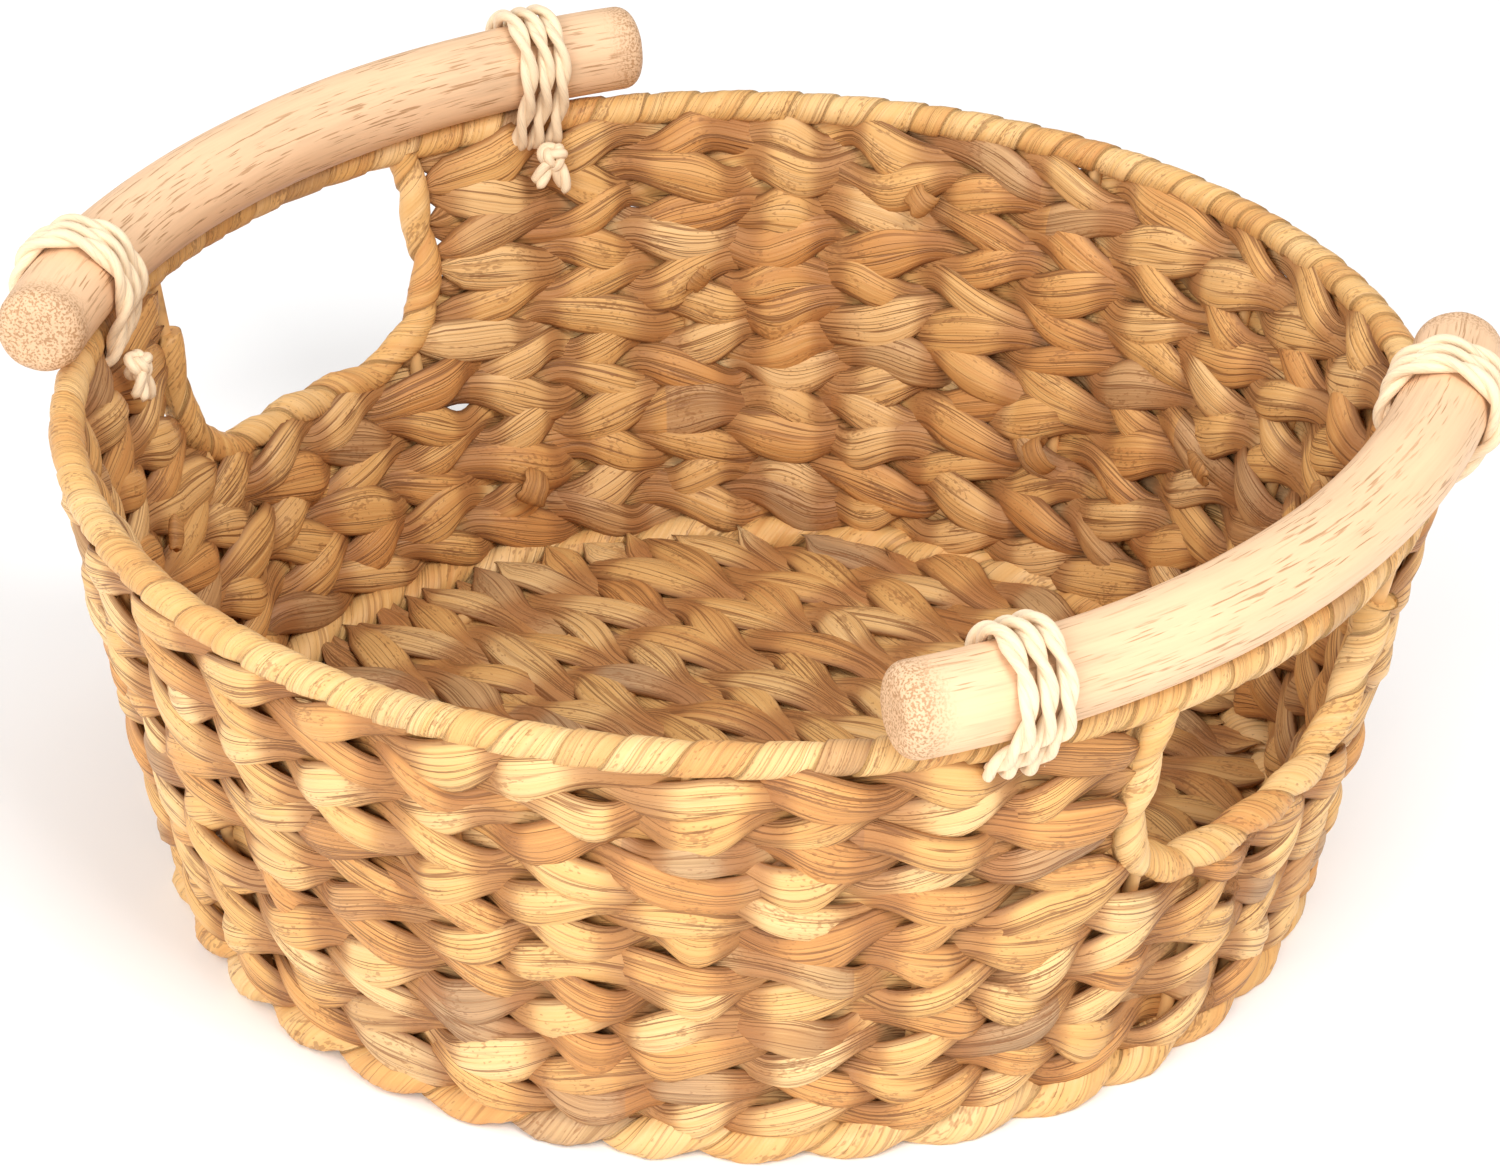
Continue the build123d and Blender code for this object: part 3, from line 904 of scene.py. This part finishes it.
class BASKET_OT_twine_floor(bpy.types.Operator):
    """Twine the floor's braids across its wires, two rows to a braid, after the wall"""
    bl_idname = "basket.twine_floor"
    bl_label = "Twine the floor"

    def execute(self, context):
        sizes = context.scene.basket_sizes
        tree = bpy.data.node_groups["twined pair"]
        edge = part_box(FLOOR_BRAIDS[0])[0].y
        for braid, node in enumerate(FLOOR_BRAIDS):
            low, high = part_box(node)
            guides = []
            for share, lean in FLOOR_ROWS.items():
                y = low.y + (high.y - low.y) * share
                reach = math.sqrt((edge - FLOOR_OVERLAP) ** 2 - y ** 2)
                guides.append(self.row(y, reach, (low.z + high.z) / 2, lean, sizes.floor_spacing))
            look = {**FLOOR_LOOK, "Seed": 200.0 + 10 * braid, "Material": floor_finish()}
            piece = grow("twined_" + node, tree, guides, look)
            declare(piece, "floor_hyacinth", node)
        return {"FINISHED"}

    def row(self, y, reach, height, lean, spacing):
        guide = Guide()
        count = round(2 * reach / spacing * STEPS)
        for index in range(count + 1):
            x = -reach + 2 * reach * index / count
            swell = smooth_step(min(index, count - index) / (STEPS * FLOOR_END_SWELL))
            lift = FLOOR_LIFT * smooth_step(1 - (reach - abs(x)) / FLOOR_LIFT_RUN)
            guide.add(Vector((x, y, height + lift)), UP, Vector((0, -1, 0)), x / spacing, lean, swell)
        return guide


# Bindings
#
# Each has a row for its windings (their width, stations and unevenness) and one for its tree's inputs.

RIM_WINDING = {"width": 13 * MM, "facets": 16, "unevenness": 0.3}
RIM_LOOK = {
    "Radius": RIM_WRAP - 0.45 * MM,
    "Step": 0.8 * MM,
    "Crown": 0.25 * MM,
    "Folds": 0.22 * MM,
    "Unevenness": 0.05,
}
FOOT_WINDING = {"facets": 26, "unevenness": 0.12}
FOOT_LOOK = {
    "Radius": BASE_WIRE + 0.7 * MM,
    "Step": 0.9 * MM,
    "Crown": 3.6 * MM,
    "Folds": 0.9 * MM,
    "Unevenness": 0.2,
}
HOLE_WINDING = {"width": 19 * MM, "facets": 20, "unevenness": 0.2}
HOLE_LOOK = {
    "Radius": 3.0 * MM,
    "Step": 1.1 * MM,
    "Crown": 1.4 * MM,
    "Folds": 0.6 * MM,
    "Unevenness": 0.2,
    "Closed": 0.0,
}
HOLE_END_STATIONS = 3     # stations over which a hand hole's binding swells to its full size


def winding_places(length, width, facets, unevenness, seed):
    """Stations along a length, with each winding a little wider or narrower than the next."""
    chance = random.Random(seed)
    count = max(round(length / width), 2)
    widths = [1 + unevenness * chance.uniform(-1, 1) for _ in range(count)]
    scale = length / sum(widths)
    places = []
    start = 0.0
    for share in widths:
        places += [start + share * scale * index / facets for index in range(facets)]
        start += share * scale
    return places


def ring_guide(radius, height, seed, start=0.0, **winding):
    guide = Guide()
    for place in winding_places(2 * math.pi * radius, seed=seed, **winding):
        azimuth = start + place / radius
        guide.add(radial(azimuth) * radius + UP * height, radial(azimuth), UP)
    return guide


def hole_outline(place):
    """Point (y, z) on the hand-hole wire at a length from its top end, and the way into the hole."""
    corner = bpy.context.scene.basket_sizes.hole_corner
    half, bottom = HOLE_HALF, HOLE_BOTTOM
    side = RIM_HEIGHT - bottom - corner
    flat = 2 * (half - corner)
    bend = corner * math.pi / 2
    if place < side:
        return half, RIM_HEIGHT - place, -1.0, 0.0
    if place < side + bend:
        angle = (place - side) / corner
        y = half - corner + corner * math.cos(angle)
        z = bottom + corner - corner * math.sin(angle)
        return y, z, -math.cos(angle), math.sin(angle)
    if place < side + bend + flat:
        return half - corner - (place - side - bend), bottom, 0.0, 1.0
    y, z, into_y, into_z = hole_outline(2 * side + 2 * bend + flat - place)
    return -y, z, -into_y, into_z


def hole_length():
    corner = bpy.context.scene.basket_sizes.hole_corner
    return 2 * (RIM_HEIGHT - HOLE_BOTTOM - corner) + math.pi * corner + 2 * (HOLE_HALF - corner)


def hole_guide(sign, seed):
    """Guide line along a hand hole's wire. Sign 1 is the +X side and -1 the other."""
    guide = Guide()
    places = winding_places(hole_length(), seed=seed, **HOLE_WINDING)
    for index, place in enumerate(places):
        y, z, into_y, into_z = hole_outline(place)
        x = math.sqrt(wall_radius(z) ** 2 - y ** 2)
        azimuth = math.atan2(y, x)
        outward, upward = wall_directions(azimuth)
        along = UP.cross(radial(azimuth))
        into = along * into_y + upward * into_z
        swell = smooth_step(min(index, len(places) - 1 - index) / HOLE_END_STATIONS)
        spot = Vector((x, y, z))
        guide.add(*(flipped(vector, sign, sign) for vector in (spot, outward, into)), swell=swell)
    return guide


class BASKET_OT_bind_edges(bpy.types.Operator):
    """Wind stems round the rim, the foot and the hand holes"""
    bl_idname = "basket.bind_edges"
    bl_label = "Bind the edges"

    def execute(self, context):
        tree = binding_tree()
        rim = ring_guide(RIM_RADIUS, RIM_HEIGHT, 5, **RIM_WINDING)
        self.bind("rim_binding", tree, rim, RIM_WINDING, RIM_LOOK, 4.0, "rim_wrap")
        between = 2 * math.pi * BASE_RADIUS / context.scene.basket_sizes.stakes
        foot = ring_guide(BASE_RADIUS, BASE_HEIGHT, 6, stake_azimuth(0), width=between, **FOOT_WINDING)
        self.bind("foot_binding", tree, foot, FOOT_WINDING, FOOT_LOOK, 9.0, "base_ring_wrap")
        for number, (side, sign) in enumerate(SIDES.items()):
            hole = hole_guide(sign, 7 + number)
            self.bind("hand_hole_binding_" + side, tree, hole, HOLE_WINDING, HOLE_LOOK, 14.0 + number,
                      "hand_hole_wrap_" + side)
        return {"FINISHED"}

    def bind(self, name, tree, guide, winding, look, seed, node):
        inputs = {**look, "Facets": winding["facets"], "Seed": seed, "Material": binding_finish()}
        declare(grow(name, tree, [guide], inputs), "wrapped_hyacinth", node)


# Tubes

def tube_mesh(name, rings, attributes):
    """A closed mesh from rings of points, the first and last ring closed to a point each."""
    count = len(rings[0])
    points = [point for ring in rings[1:-1] for point in ring]
    first, last = len(points), len(points) + 1
    points += [rings[0][0], rings[-1][0]]
    faces = []
    body = len(rings) - 2
    for row in range(body - 1):
        for index in range(count):
            after = (index + 1) % count
            faces.append((row * count + index, row * count + after,
                          (row + 1) * count + after, (row + 1) * count + index))
    for index in range(count):
        after = (index + 1) % count
        faces.append((first, after, index))
        faces.append((last, (body - 1) * count + index, (body - 1) * count + after))
    mesh = bpy.data.meshes.new(name)
    mesh.from_pydata(points, [], faces)
    mesh.shade_smooth()
    for key, (kind, rows) in attributes.items():
        layer = mesh.attributes.new(key, kind, "POINT")
        values = [value for row in rows[1:-1] for value in row] + [rows[0][0], rows[-1][0]]
        if kind == "FLOAT_VECTOR":
            layer.data.foreach_set("vector", [part for value in values for part in value])
        else:
            layer.data.foreach_set("value", values)
    return mesh


# Handles

POLE_EDGE = 5 * MM                          # radius of the rounding round a pole's end faces
EDGE_STEPS, POLE_STEPS, POLE_FACETS = 8, 150, 48
# Each unevenness: its share of the radius, its waves round and in a metre along, and its number
POLE_BUMPS = ((0.012, 1, 28, 9), (0.02, 2, 8, 5))
END_COLOUR, END_COLOUR_RUN = 3 * MM, 10 * MM  # how far the ends' stipple reaches, and where it fades


def pole_profile(radius, length):
    """Distance along the pole and radius, from the middle of one end face to the other."""
    start = [(0.0, radius * share) for share in (0.0, 0.25, 0.5)] + [(0.0, radius - POLE_EDGE)]
    for step in range(1, EDGE_STEPS + 1):
        angle = math.pi / 2 * step / EDGE_STEPS
        place = POLE_EDGE - POLE_EDGE * math.cos(angle)
        start.append((place, radius - POLE_EDGE + POLE_EDGE * math.sin(angle)))
    body = [(POLE_EDGE + (length - 2 * POLE_EDGE) * step / POLE_STEPS, radius) for step in range(1, POLE_STEPS)]
    return start + body + [(length - place, reach) for place, reach in reversed(start)]


class BASKET_OT_bend_handles(bpy.types.Operator):
    """Bend the two rattan poles over the hand holes"""
    bl_idname = "basket.bend_handles"
    bl_label = "Bend the handles"

    def execute(self, context):
        finish = rattan_finish()
        for side, sign in SIDES.items():
            mesh = self.pole(sign, *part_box("handle_" + side), context.scene.basket_sizes.pole_bend)
            mesh.materials.append(finish)
            piece = bpy.data.objects.new("rattan_handle_" + side, mesh)
            context.scene.collection.objects.link(piece)
            declare(piece, "rattan", "handle_" + side)
        return {"FINISHED"}

    def pole(self, sign, low, high, bend):
        """Mesh of one pole. Sign 1 is the +X side and -1 the other."""
        radius = (high.z - low.z) / 2
        reach = max(abs(low.x), abs(high.x)) - radius
        half_angle = math.asin(high.y / (bend + radius))
        length = 2 * half_angle * bend
        centre = Vector((sign * (reach - bend), 0, (low.z + high.z) / 2))
        rings, grain, end = [], [], []
        for place, wide in pole_profile(radius, length):
            outward = radial(sign * (place / length * 2 - 1) * half_angle) * sign
            axis = centre + outward * bend
            ring, ring_grain = [], []
            for index in range(POLE_FACETS):
                turn = 2 * math.pi * index / POLE_FACETS
                x, y = math.cos(turn), math.sin(turn)
                uneven = 1.0
                for share, round_waves, waves, number in POLE_BUMPS:
                    spot = Vector((x * round_waves, y * round_waves, place * waves + sign * number))
                    uneven += share * noise.noise(spot)
                ring.append(axis + (outward * x + UP * y) * wide * uneven)
                ring_grain.append((x * radius, y * radius, place + sign))
            rings.append(ring)
            grain.append(ring_grain)
            from_end = min(place, length - place)
            end.append([1.0 - smooth_step((from_end - END_COLOUR) / END_COLOUR_RUN)] * POLE_FACETS)
        return tube_mesh("rattan_handle", rings, {"grain": ("FLOAT_VECTOR", grain), "end": ("FLOAT", end)})


# Lashings

CORD_LOOK = {
    "Facets": 12,
    "Pinch": 0.0,
    "Steadiness": 0.01,
    "Roll": 1.0,
    "Sharpness": 0.0,
    "Unevenness": 0.12,
    "Folds": 0.35,
}
PLY_SHARE = 0.57                        # of the cord's thickness, for each of its two plies
CORD_END_STATIONS = 2                   # stations over which a cord swells from its cut end
CORD_TURNS, TURN_STATIONS = 3, 90
TURN_START = 0.82                       # place on the loop where the first turn starts
SLACK, DRIFT = 0.5 * MM, 0.4 * MM       # how loose a turn is, and how far it strays along the pole
KNOT_SIZE, KNOT_DEPTH, KNOT_STATIONS = 0.95 * MM, 1.3, 60
KNOT_TWIST = 0.8                        # of the twist's length in the lashing
SHORT_TAIL, TAIL_STATIONS = 8 * MM, 12
TAIL_LEANS = (0.25, -0.9)
TAIL_BULGE = 1.6 * MM                   # how far a tail stands off the wall
TAIL_SPREAD = 0.2


class Lashing:
    """The cord's loop round a handle and the rim, seen along the handle from inside the loop."""

    def __init__(self, sizes):
        low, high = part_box("handle_right")
        self.pole_radius = (high.z - low.z) / 2
        reach = high.x - self.pole_radius
        self.bend = sizes.pole_bend
        self.centre = Vector((reach - sizes.pole_bend, 0, (low.z + high.z) / 2))
        self.outward = radial(sizes.lashing_angle)
        self.along = Vector((self.outward.y, -self.outward.x, 0))
        self.cord = sizes.cord_thickness / 2

    def origin(self, along):
        """Middle of the pole at a distance along it from the lashing's middle."""
        return self.centre + self.outward * self.bend + self.along * along

    def rim(self, along):
        """The rim's middle seen along the pole: how far outwards and how far up."""
        point = self.origin(along)
        point.z = 0
        reach = point.dot(self.outward)
        out = math.sqrt(reach ** 2 - point.length_squared + RIM_RADIUS ** 2) - reach
        return out, RIM_HEIGHT - self.centre.z

    def point(self, along, share, lift):
        """Place at a share of one turn, and the direction away from the loop, in the basket's frame."""
        out, up = self.rim(along)
        pole_loop = self.pole_radius + self.cord + lift
        rim_loop = RIM_WRAP + self.cord + lift
        distance = math.hypot(out, up)
        taper = math.asin((pole_loop - rim_loop) / distance)
        straight = math.sqrt(distance ** 2 - (pole_loop - rim_loop) ** 2)
        arcs = [(math.pi + 2 * taper) * pole_loop, straight, (math.pi - 2 * taper) * rim_loop, straight]
        place = (share % 1.0) * sum(arcs)
        start = math.atan2(up, out) + math.pi / 2 - taper
        turned = start + math.pi + 2 * taper
        if place < arcs[0]:
            angle, part = start + place / pole_loop, 0.0
        elif place < arcs[0] + arcs[1]:
            angle, part = turned, (place - arcs[0]) / arcs[1]
        elif place < sum(arcs[:3]):
            angle, part = turned + (place - arcs[0] - arcs[1]) / rim_loop, 1.0
        else:
            angle, part = start, 1 - (place - sum(arcs[:3])) / arcs[3]
        away = self.outward * math.cos(angle) + UP * math.sin(angle)
        middle = self.origin(along) + (self.outward * out + UP * up) * part
        return middle + away * (pole_loop + (rim_loop - pole_loop) * part), away


def cord_guide(points, twist, mirrors=(1, 1)):
    """Guide line of a two-ply cord through points. Each point is a place and a direction away."""
    guide = Guide()
    count = len(points)
    length = 0.0
    for index, (place, away) in enumerate(points):
        before = points[max(index - 1, 0)][0]
        after = points[min(index + 1, count - 1)][0]
        if index:
            length += (place - before).length
        along = (after - before).normalized()
        side = along.cross(away).normalized()
        swell = smooth_step(min(index, count - 1 - index) / CORD_END_STATIONS)
        vectors = (flipped(vector, *mirrors) for vector in (place, side.cross(along), side))
        guide.add(*vectors, turn=length / twist * 2, swell=swell)
    return guide


class BASKET_OT_tie_lashings(bpy.types.Operator):
    """Wind and knot the twisted cord that holds each handle on the rim"""
    bl_idname = "basket.tie_lashings"
    bl_label = "Tie the lashings"

    def execute(self, context):
        sizes = context.scene.basket_sizes
        tree = bpy.data.node_groups["twined pair"]
        ply = sizes.cord_thickness * PLY_SHARE
        offset = (sizes.cord_thickness - ply) / 2
        look = {
            **CORD_LOOK,
            "Width": ply,
            "Thickness": ply,
            "Reach": offset,
            "Climb": offset,
            "Material": cord_finish(),
        }
        lashing = Lashing(sizes)
        for number, (side, end) in enumerate((side, end) for side in SIDES for end in ENDS):
            name = side + "_" + end
            turns = self.turns(lashing, sizes.cord_pitch, number)
            guides = [cord_guide(turns, sizes.cord_twist, (SIDES[side], ENDS[end]))]
            piece = grow("cord_lashing_" + name, tree, guides, {**look, "Seed": 400.0 + number})
            declare(piece, "paper_cord", "lashing_" + name)
            lines = self.knot(*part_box("lashing_knot_" + name), number)
            guides = [cord_guide(points, sizes.cord_twist * KNOT_TWIST) for points in lines]
            piece = grow("cord_knot_" + name, tree, guides, {**look, "Seed": 420.0 + number})
            declare(piece, "paper_cord", "lashing_knot_" + name)
        return {"FINISHED"}

    def turns(self, lashing, pitch, number):
        """Points of the turns laid side by side, none of them quite even."""
        chance = random.Random(30 + number)
        slack = [chance.uniform(0.0, SLACK) for _ in range(CORD_TURNS + 2)]
        drift = [chance.uniform(-DRIFT, DRIFT) for _ in range(CORD_TURNS + 2)]
        points = []
        for index in range(CORD_TURNS * TURN_STATIONS + 1):
            wound = index / TURN_STATIONS
            turn, part = int(wound), wound % 1.0
            lift, stray = (even[turn] * (1 - part) + even[turn + 1] * part for even in (slack, drift))
            along = (wound - CORD_TURNS / 2) * pitch + stray
            points.append(lashing.point(along, TURN_START + wound, lift))
        return points

    def knot(self, low, high, number):
        """Points of a small overhand knot and of its two cut tails."""
        radius = (high.x - low.x) / 2
        centre = Vector(((low.x + high.x) / 2, (low.y + high.y) / 2, high.z - radius))
        inward = Vector((-centre.x, -centre.y, 0)).normalized()
        along = UP.cross(inward)
        chance = random.Random(60 + number)
        loop = []
        for index in range(KNOT_STATIONS + 1):
            angle = 2 * math.pi * index / KNOT_STATIONS
            x = math.sin(angle) + 2 * math.sin(2 * angle)
            y = math.cos(angle) - 2 * math.cos(2 * angle)
            z = -math.sin(3 * angle)
            spot = along * x + UP * y + inward * z * KNOT_DEPTH
            loop.append((centre + spot * KNOT_SIZE, spot.normalized()))
        lines = [loop]
        for lean, reach in zip(TAIL_LEANS, (high.z - low.z - 1.4 * radius, SHORT_TAIL)):
            lean += chance.uniform(-TAIL_SPREAD, TAIL_SPREAD)
            tail = []
            for index in range(TAIL_STATIONS + 1):
                part = index / TAIL_STATIONS
                sideways = along * lean * reach * (part - 0.35 * part * part)
                off_wall = inward * TAIL_BULGE * math.sin(part * 2.5)
                tail.append((centre - UP * reach * part + sideways + off_wall, inward))
            lines.append(tail)
        return lines


# Loose strand ends

CURLS = 18
CURL_SHIFT = (0.1, 0.9)                     # stakes from its even place to where a curl leaves the wall
CURL_RISE = 2                               # millimetres above or below its row's middle
HOLE_ROOM = (12 * MM, 8 * MM)               # between a curl and a hand hole's wire, sideways and upwards
CURL_ROOT = 6.5 * MM                        # depth of a curl's root below the wall's middle
CURL_DRAW = 2.5 * MM                        # how far the curl is drawn inwards along its length
CURL_THICKNESS = 0.9 * MM
CURL_GRAIN = (1 * MM, 14 * MM)
CURL_STEPS, CURL_FACETS = 16, 12


class BASKET_OT_curl_ends(bpy.types.Operator):
    """Leave the curled cut ends of the stems inside the wall"""
    bl_idname = "basket.curl_ends"
    bl_label = "Curl the cut ends"

    def execute(self, context):
        chance = random.Random(17)
        finish = cut_end_finish()
        whole = None
        heights = [row_height(name) for name in WALL_ROWS]
        for number in range(CURLS):
            turn = number * context.scene.basket_sizes.stakes / CURLS + chance.uniform(*CURL_SHIFT)
            row = chance.choice(range(2, len(heights) - 1))
            azimuth = stake_azimuth(turn)
            height = heights[row] + chance.uniform(-CURL_RISE, CURL_RISE) * MM
            hole = hole_half_width(height + HOLE_ROOM[1])
            if hole and abs(math.sin(azimuth)) * RIM_RADIUS < hole + HOLE_ROOM[0]:
                continue
            piece = bpy.data.objects.new("curled_end", self.curl(azimuth, height, chance))
            context.scene.collection.objects.link(piece)
            whole = piece if whole is None else joined(whole, piece)
        whole.name = "curled_strand_ends"
        whole.data.materials.append(finish)
        declare(whole, "twined_hyacinth")
        return {"FINISHED"}

    def curl(self, azimuth, height, chance):
        """One flat stem end that leaves the wall and curls over."""
        outward, upward = wall_directions(azimuth)
        along = upward.cross(outward)
        tilt = chance.uniform(-0.9, 0.9)
        width_axis = (along * math.cos(tilt) + upward * math.sin(tilt)).normalized()
        ahead = outward.cross(width_axis) * (1 if chance.random() > 0.4 else -1)
        bend = chance.uniform(4.0, 7.0) * MM
        sweep = math.radians(chance.uniform(90, 230))
        wide = chance.uniform(3.5, 6.0) * MM
        start = radial(azimuth) * (wall_radius(height) - CURL_ROOT) + UP * height
        rings, grain, tone = [], [], []
        for step in range(CURL_STEPS + 1):
            part = step / CURL_STEPS
            angle = sweep * part
            radius = bend * (1 - 0.35 * part)
            place = start + ahead * radius * (1 - math.cos(angle)) * 1.2 - outward * radius * math.sin(angle)
            place = place - outward * CURL_DRAW * part
            thick_axis = ahead * math.cos(angle) + outward * math.sin(angle)
            size = math.sqrt(max(1 - (2 * part - 1) ** 8, 0))
            ring, ring_grain = [], []
            for index in range(CURL_FACETS):
                turn = 2 * math.pi * index / CURL_FACETS
                rough = 1 + 0.3 * noise.noise(Vector((math.cos(turn) * 2, azimuth * 9, part * 5)))
                side = width_axis * math.cos(turn) * wide * rough * (0.75 + 0.35 * part)
                depth = thick_axis * math.sin(turn) * CURL_THICKNESS * rough
                ring.append(place + (side + depth) * size)
                ring_grain.append((math.cos(turn) * wide, math.sin(turn) * CURL_GRAIN[0],
                                   part * CURL_GRAIN[1] + azimuth))
            rings.append(ring)
            grain.append(ring_grain)
            tone.append([0.75 + 0.25 * part] * CURL_FACETS)
        return tube_mesh("curled_end", rings, {"grain": ("FLOAT_VECTOR", grain), "tone": ("FLOAT", tone)})


# Wire frame and stage

BARE_WIRES = ("rim_hoop", "base_hoop", "wall_stakes", "floor_stakes",
              "hand_hole_wire_right", "hand_hole_wire_left")
GROUND_HALF = 4.0
WORLD_STRENGTH = 0.56
LAMPS = (                                   # name, place, size and power
    ("key softbox", (1.2, -0.4, 1.5), 0.8, 22.5),
    ("fill softbox", (-1.4, -1.0, 1.0), 1.2, 10.0),
    ("front softbox", (0.5, -1.6, 0.8), 0.9, 19.0),
    ("top softbox", (-0.2, 0.5, 1.9), 1.4, 6.0),
)
LAMP_TARGET = (0, 0, 0.05)
CAMERA_AZIMUTH, CAMERA_DISTANCE, CAMERA_HEIGHT = 39.0, 1.198, 0.783
CAMERA_PAN, CAMERA_TILT, CAMERA_ROLL = 39.34, 59.4, 0.74
CAMERA_LENS, CAMERA_SENSOR, CAMERA_SHIFT = 126.4, 36.0, (0.0215, 0.0026)


class BASKET_OT_paint_frame(bpy.types.Operator):
    """Paint the wire frame that still shows between the stems"""
    bl_idname = "basket.paint_frame"
    bl_label = "Paint the frame"

    def execute(self, context):
        paint = wire_finish()
        for name in BARE_WIRES:
            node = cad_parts[name]
            if not node.material_slots:
                node.data.materials.append(paint)
            for slot in node.material_slots:
                slot.material = paint
        return {"FINISHED"}


class BASKET_OT_set_stage(bpy.types.Operator):
    """Lay the pale floor, hang the soft lights and place the camera"""
    bl_idname = "basket.set_stage"
    bl_label = "Set the stage"

    def execute(self, context):
        self.lay_ground(context)
        self.light_softly(context)
        self.place_camera(context)
        return {"FINISHED"}

    def lay_ground(self, context):
        mesh = bpy.data.meshes.new("ground")
        corners = [(x * GROUND_HALF, y * GROUND_HALF, 0) for x, y in ((-1, -1), (1, -1), (1, 1), (-1, 1))]
        mesh.from_pydata(corners, [], [(0, 1, 2, 3)])
        ground = bpy.data.objects.new("ground", mesh)
        context.scene.collection.objects.link(ground)
        f = Finish("pale ground")
        place = f.node("ShaderNodeTexCoord").outputs["Object"]
        cloud = f.noise(place, 1.0, 3.0, 2.0)
        pale = f.colours.ground
        f.feed(f.shader["Base Color"], f.ramp(cloud, [(0.3, pale), (0.7, shade(pale, 1.02))]))
        f.shader["Roughness"].default_value = 0.85
        mesh.materials.append(f.material)

    def light_softly(self, context):
        world = bpy.data.worlds.new("studio")
        world.use_nodes = True
        background = world.node_tree.nodes["Background"].inputs
        background["Color"].default_value = (1.0, 1.0, 1.0, 1.0)
        background["Strength"].default_value = WORLD_STRENGTH
        context.scene.world = world
        for name, place, size, power in LAMPS:
            light = bpy.data.lights.new(name, "AREA")
            light.size = size
            light.energy = power
            lamp = bpy.data.objects.new(name, light)
            lamp.location = place
            aim = Vector(LAMP_TARGET) - lamp.location
            lamp.rotation_mode = "QUATERNION"
            lamp.rotation_quaternion = aim.to_track_quat("-Z", "Y")
            context.scene.collection.objects.link(lamp)
        context.scene.view_settings.view_transform = "Standard"

    def place_camera(self, context):
        """Stands the camera off one handle, looking down at the basket, a hair out of level."""
        azimuth = math.radians(CAMERA_AZIMUTH)
        camera = bpy.data.cameras.new("camera")
        camera.sensor_width = CAMERA_SENSOR
        camera.lens = CAMERA_LENS
        camera.shift_x, camera.shift_y = CAMERA_SHIFT
        camera.clip_end = 100.0
        stand = bpy.data.objects.new("camera", camera)
        stand.location = (
            CAMERA_DISTANCE * math.sin(azimuth), -CAMERA_DISTANCE * math.cos(azimuth), CAMERA_HEIGHT)
        turn = Matrix.Identity(3)
        for degrees, axis in ((CAMERA_PAN, "Z"), (CAMERA_TILT, "X"), (CAMERA_ROLL, "Z")):
            turn = turn @ Matrix.Rotation(math.radians(degrees), 3, axis)
        stand.rotation_euler = turn.to_euler()
        context.scene.collection.objects.link(stand)
        context.scene.camera = stand


# Add-on

STAGES = (
    BASKET_OT_twine_wall,
    BASKET_OT_twine_floor,
    BASKET_OT_bind_edges,
    BASKET_OT_bend_handles,
    BASKET_OT_tie_lashings,
    BASKET_OT_curl_ends,
    BASKET_OT_paint_frame,
    BASKET_OT_set_stage,
)


class BASKET_PT_panel(bpy.types.Panel):
    """Lists the basket's making in order"""
    bl_idname = "BASKET_PT_panel"
    bl_label = "Basket"
    bl_space_type = "VIEW_3D"
    bl_region_type = "UI"
    bl_category = "Basket"

    def draw(self, context):
        for group in (context.scene.basket_sizes, context.scene.basket_colours):
            for name in group.__annotations__:
                self.layout.prop(group, name)
        for stage in STAGES:
            self.layout.operator(stage.bl_idname)


CLASSES = (BasketSizes, BasketColours, *STAGES, BASKET_PT_panel)


def register():
    for item in CLASSES:
        bpy.utils.register_class(item)
    bpy.types.Scene.basket_sizes = PointerProperty(type=BasketSizes)
    bpy.types.Scene.basket_colours = PointerProperty(type=BasketColours)


def unregister():
    del bpy.types.Scene.basket_colours
    del bpy.types.Scene.basket_sizes
    for item in reversed(CLASSES):
        bpy.utils.unregister_class(item)


def main():
    register()
    bpy.ops.basket.twine_wall()
    bpy.ops.basket.twine_floor()
    bpy.ops.basket.bind_edges()
    bpy.ops.basket.bend_handles()
    bpy.ops.basket.tie_lashings()
    bpy.ops.basket.curl_ends()
    bpy.ops.basket.paint_frame()
    bpy.ops.basket.set_stage()


if __name__ == "__main__":
    main()
